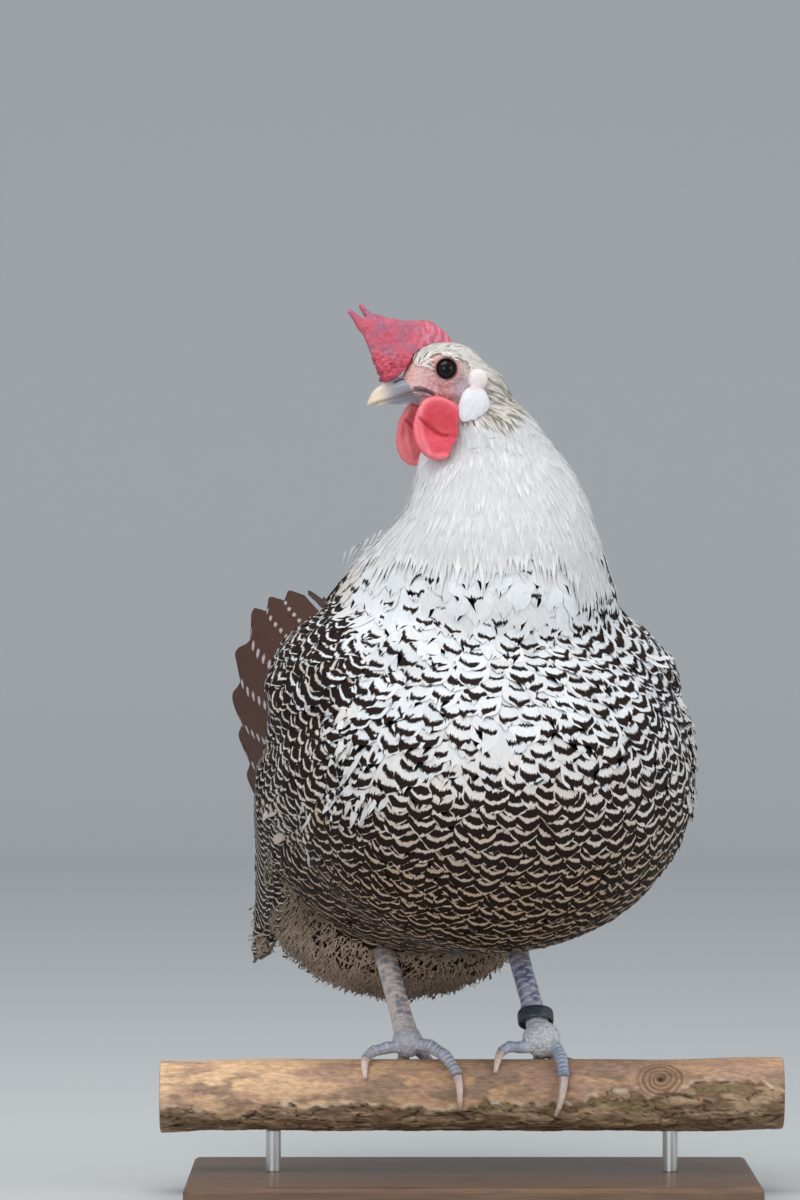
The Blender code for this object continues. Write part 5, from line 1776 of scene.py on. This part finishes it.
bpy.ops.object.select_all(action="DESELECT")
bpy.ops.mesh.primitive_grid_add(x_subdivisions=150, y_subdivisions=360, size=2)
branch = bpy.context.object
branch.name = branch.data.name = "branch"
tones = []
for vertex in branch.data.vertices:
    turn, t = vertex.co.x * 180, (vertex.co.y + 1) / 2
    end = min(t, 1 - t)
    x = -HALF_BRANCH + 2 * HALF_BRANCH * min(1.0, max(0.0, (t - CAP_SHARE) / (1 - 2 * CAP_SHARE)))
    away = smoothstep(70, 150, abs(x))
    radius = PERCH_RADIUS + 0.5 * away * math.sin(x / 17)
    angle = math.radians(turn)
    arc = radius * angle
    front = abs(turn)
    border = 100 - 34 * smoothstep(40, 130, x) + 12 * smoothstep(-60, -120, x)
    border += 26 * noise.noise(Vector((x * 0.035, 0 if turn > 0 else 9, 2.0)))
    border += 9 * noise.noise(Vector((x * 0.2, arc * 0.1, 5.0)))
    bark = smoothstep(border - 3, border + 3, front)
    round_x, round_y = math.cos(angle) * 3.0, math.sin(angle) * 3.0
    furrow = abs(noise.noise(Vector((x * 0.035, round_x * 1.5, round_y * 1.5))))
    cross = abs(noise.noise(Vector((x * 0.13, round_x * 1.1, round_y * 1.1 + 7))))
    plates = noise.fractal(Vector((x * 0.06, round_x * 1.3, round_y * 1.3)), 1.0, 2.0, 4)
    fine = noise.fractal(Vector((x * 0.25, round_x * 4.0, round_y * 4.0)), 1.0, 2.0, 4)
    crack = max(math.exp(-((furrow / 0.035) ** 2)), 0.7 * math.exp(-((cross / 0.03) ** 2)))
    smooth_wood = 0.10 * fine - 0.25 * math.exp(-((furrow / 0.012) ** 2))
    relief = (1 - bark) * smooth_wood + bark * (0.35 + 0.55 * plates + 0.25 * fine - 0.9 * crack)
    relief = relief * (0.4 + 0.6 * smoothstep(25, 70, front)) - 0.1
    knot = math.hypot((x - KNOT_X) * 0.85, arc - radius * math.radians(KNOT_TURN))
    knot += 0.8 * noise.noise(Vector((x * 0.2, arc * 0.2, 8.0)))
    swell = math.exp(-((knot / 10.0) ** 2))
    swirl = math.atan2(arc - radius * math.radians(KNOT_TURN), x - KNOT_X)
    rings = math.sin(knot * 2 * math.pi / 2.5 + swirl)
    relief = relief * (1 - 0.7 * swell) + 0.9 * swell + 0.34 * rings * smoothstep(KNOT_EDGE, 8, knot)
    relief -= 1.5 * math.exp(-((knot / 1.5) ** 2))
    tan = Vector((0.56, 0.345, 0.205)).lerp(Vector((0.72, 0.47, 0.28)), smoothstep(-20, -110, x))
    pink = Vector((0.46, 0.285, 0.20))
    drift = noise.noise(Vector((x * 0.03, round_x, round_y + 4))) + 0.3 * smoothstep(-60, 60, x)
    wood = tan.lerp(pink, smoothstep(-0.1, 0.4, drift))
    worn = noise.fractal(Vector((x * 0.05, round_x * 0.9, round_y * 0.9 + 20)), 1.0, 2.0, 3)
    weathered = 0.75 * smoothstep(0.05, 0.35, worn) * smoothstep(28, 60, front)
    wood = wood.lerp(Vector((0.27, 0.185, 0.13)), weathered)
    wood *= 1 + 0.30 * fine
    brown = Vector((0.22, 0.135, 0.08)).lerp(Vector((0.44, 0.30, 0.19)), smoothstep(-0.25, 0.4, plates))
    moss = noise.noise(Vector((x * 0.04, round_x * 0.8, 31)))
    brown = brown.lerp(Vector((0.25, 0.21, 0.09)), 0.5 * smoothstep(0.15, 0.5, moss))
    brown *= 1 + 0.35 * fine
    tone = wood.lerp(brown, bark)
    broken = noise.noise(Vector((x * 0.12, 3.0, arc * 0.1)))
    lip = math.exp(-(((front - border) / 3.5) ** 2)) * smoothstep(-0.1, 0.3, broken)
    tone = tone.lerp(Vector((0.74, 0.60, 0.44)), 0.6 * lip)
    relief += 0.35 * lip
    # painted shade: the cracks darken to near black, fully in the bark and faintly in the bare wood
    tone = tone.lerp(Vector((0.020, 0.011, 0.007)), min(1.0, crack * (0.12 + 0.85 * bark)))
    tone = tone.lerp(Vector((0.14, 0.075, 0.04)), (0.42 - 0.42 * rings) * smoothstep(KNOT_EDGE, 9, knot))
    tone = tone.lerp(Vector((0.03, 0.017, 0.010)), math.exp(-((knot / 1.6) ** 2)))
    across = 1.0
    if end < CAP_SHARE:
        across = end / CAP_SHARE
        grown = across * radius + 1.2 * noise.noise(Vector((math.cos(angle) * 0.8, math.sin(angle) * 0.8, x)))
        year = math.sin(grown * 2 * math.pi / YEAR)
        tone = Vector((0.62, 0.43, 0.25)).lerp(Vector((0.38, 0.225, 0.115)), 0.35 + 0.3 * year)
        tone = tone.lerp(Vector((0.25, 0.14, 0.08)), smoothstep(0.9, 1.0, across))
        relief *= across**6
    rim = smoothstep(0, 1.0, HALF_BRANCH - abs(x)) if across == 1.0 else 0.0
    reach = across * (radius + relief - 0.5 * (1 - rim))
    level = -PERCH_RADIUS - 1.2 * away * math.sin(x / 40)
    vertex.co = Vector((x, 2 * away - reach * math.sin(angle), level + reach * math.cos(angle)))
    tones.append(tone)
tint(branch.data, tones)
cage = bmesh.new()
cage.from_mesh(branch.data)
bmesh.ops.remove_doubles(cage, verts=cage.verts, dist=0.01)
bmesh.ops.recalc_face_normals(cage, faces=cage.faces)
cage.to_mesh(branch.data)
cage.free()
branch.data.transform(PERCH_FRAME)
branch.data.polygons.foreach_set("use_smooth", [True] * len(branch.data.polygons))


def along_grain(tree, scale):
    """A place on the piece for a grain that is drawn out along it."""
    where = put(tree, "ShaderNodeTexCoord").outputs["Object"]
    return put(tree, "ShaderNodeMapping", {"Vector": where, "Scale": scale}).outputs[0]


bark_finish, tree, shader = new_finish("bark", 0.78, Specular_IOR_Level=0.3)
fibre = noise_of(tree, along_grain(tree, (0.22, 1, 1)), 1100.0, 4.0, Roughness=0.65)
tone = put(tree, "ShaderNodeAttribute", attribute_name="tone").outputs["Color"]
spread = put(tree, "ShaderNodeMapRange", {0: fibre, 1: 0.25, 2: 0.75, 3: 0.72, 4: 1.28}).outputs[0]
tree.links.new(blend_of(tree, 1.0, tone, spread, "MULTIPLY"), shader.inputs["Base Color"])
bumped(tree, shader, fibre, 0.0007, 0.6)
branch.data.materials.append(bark_finish)
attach(branch, "root")
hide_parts("perch")

# ---------------------------------------------------------------- display stand
# A flat oiled board and two turned steel rods hold the branch up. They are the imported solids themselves.

board_finish, tree, shader = new_finish("base_board", 0.5, Coat_Weight=0.08)
drawn = along_grain(tree, (0.07, 1, 1))
fibre = noise_of(tree, drawn, 420.0, 5.0, Roughness=0.6, Distortion=0.6)
broad = noise_of(tree, drawn, 60.0, 2.0, Distortion=1.5)
grain = blend_of(tree, broad, (0.10, 0.052, 0.028), (0.20, 0.115, 0.065))
spread = put(tree, "ShaderNodeMapRange", {0: fibre, 1: 0.3, 2: 0.7, 3: 0.65, 4: 1.25}).outputs[0]
tree.links.new(blend_of(tree, 1.0, grain, spread, "MULTIPLY"), shader.inputs["Base Color"])
bumped(tree, shader, fibre, 0.0002, 0.4)
rod_finish, tree, shader = new_finish("rod_steel", 0.32, Metallic=1.0)
brushed = noise_of(tree, along_grain(tree, (0.1, 0.1, 1)), 3000.0, 2.0)
tree.links.new(blend_of(tree, brushed, (0.46, 0.46, 0.46), (0.66, 0.66, 0.65)), shader.inputs["Base Color"])
bumped(tree, shader, brushed, 0.00003, 0.5)
for node, finish in (
    ("stand_base", board_finish),
    ("stand_rod_left", rod_finish),
    ("stand_rod_right", rod_finish),
):
    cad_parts[node].data.materials.clear()
    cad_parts[node].data.materials.append(finish)

# ---------------------------------------------------------------- finishing the skin
# The skin stayed in the hen's own frame while feathers were laid on it. It now takes its place.

skin_mesh.transform(HEN)
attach(skin, "root")
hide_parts(*FLESH)
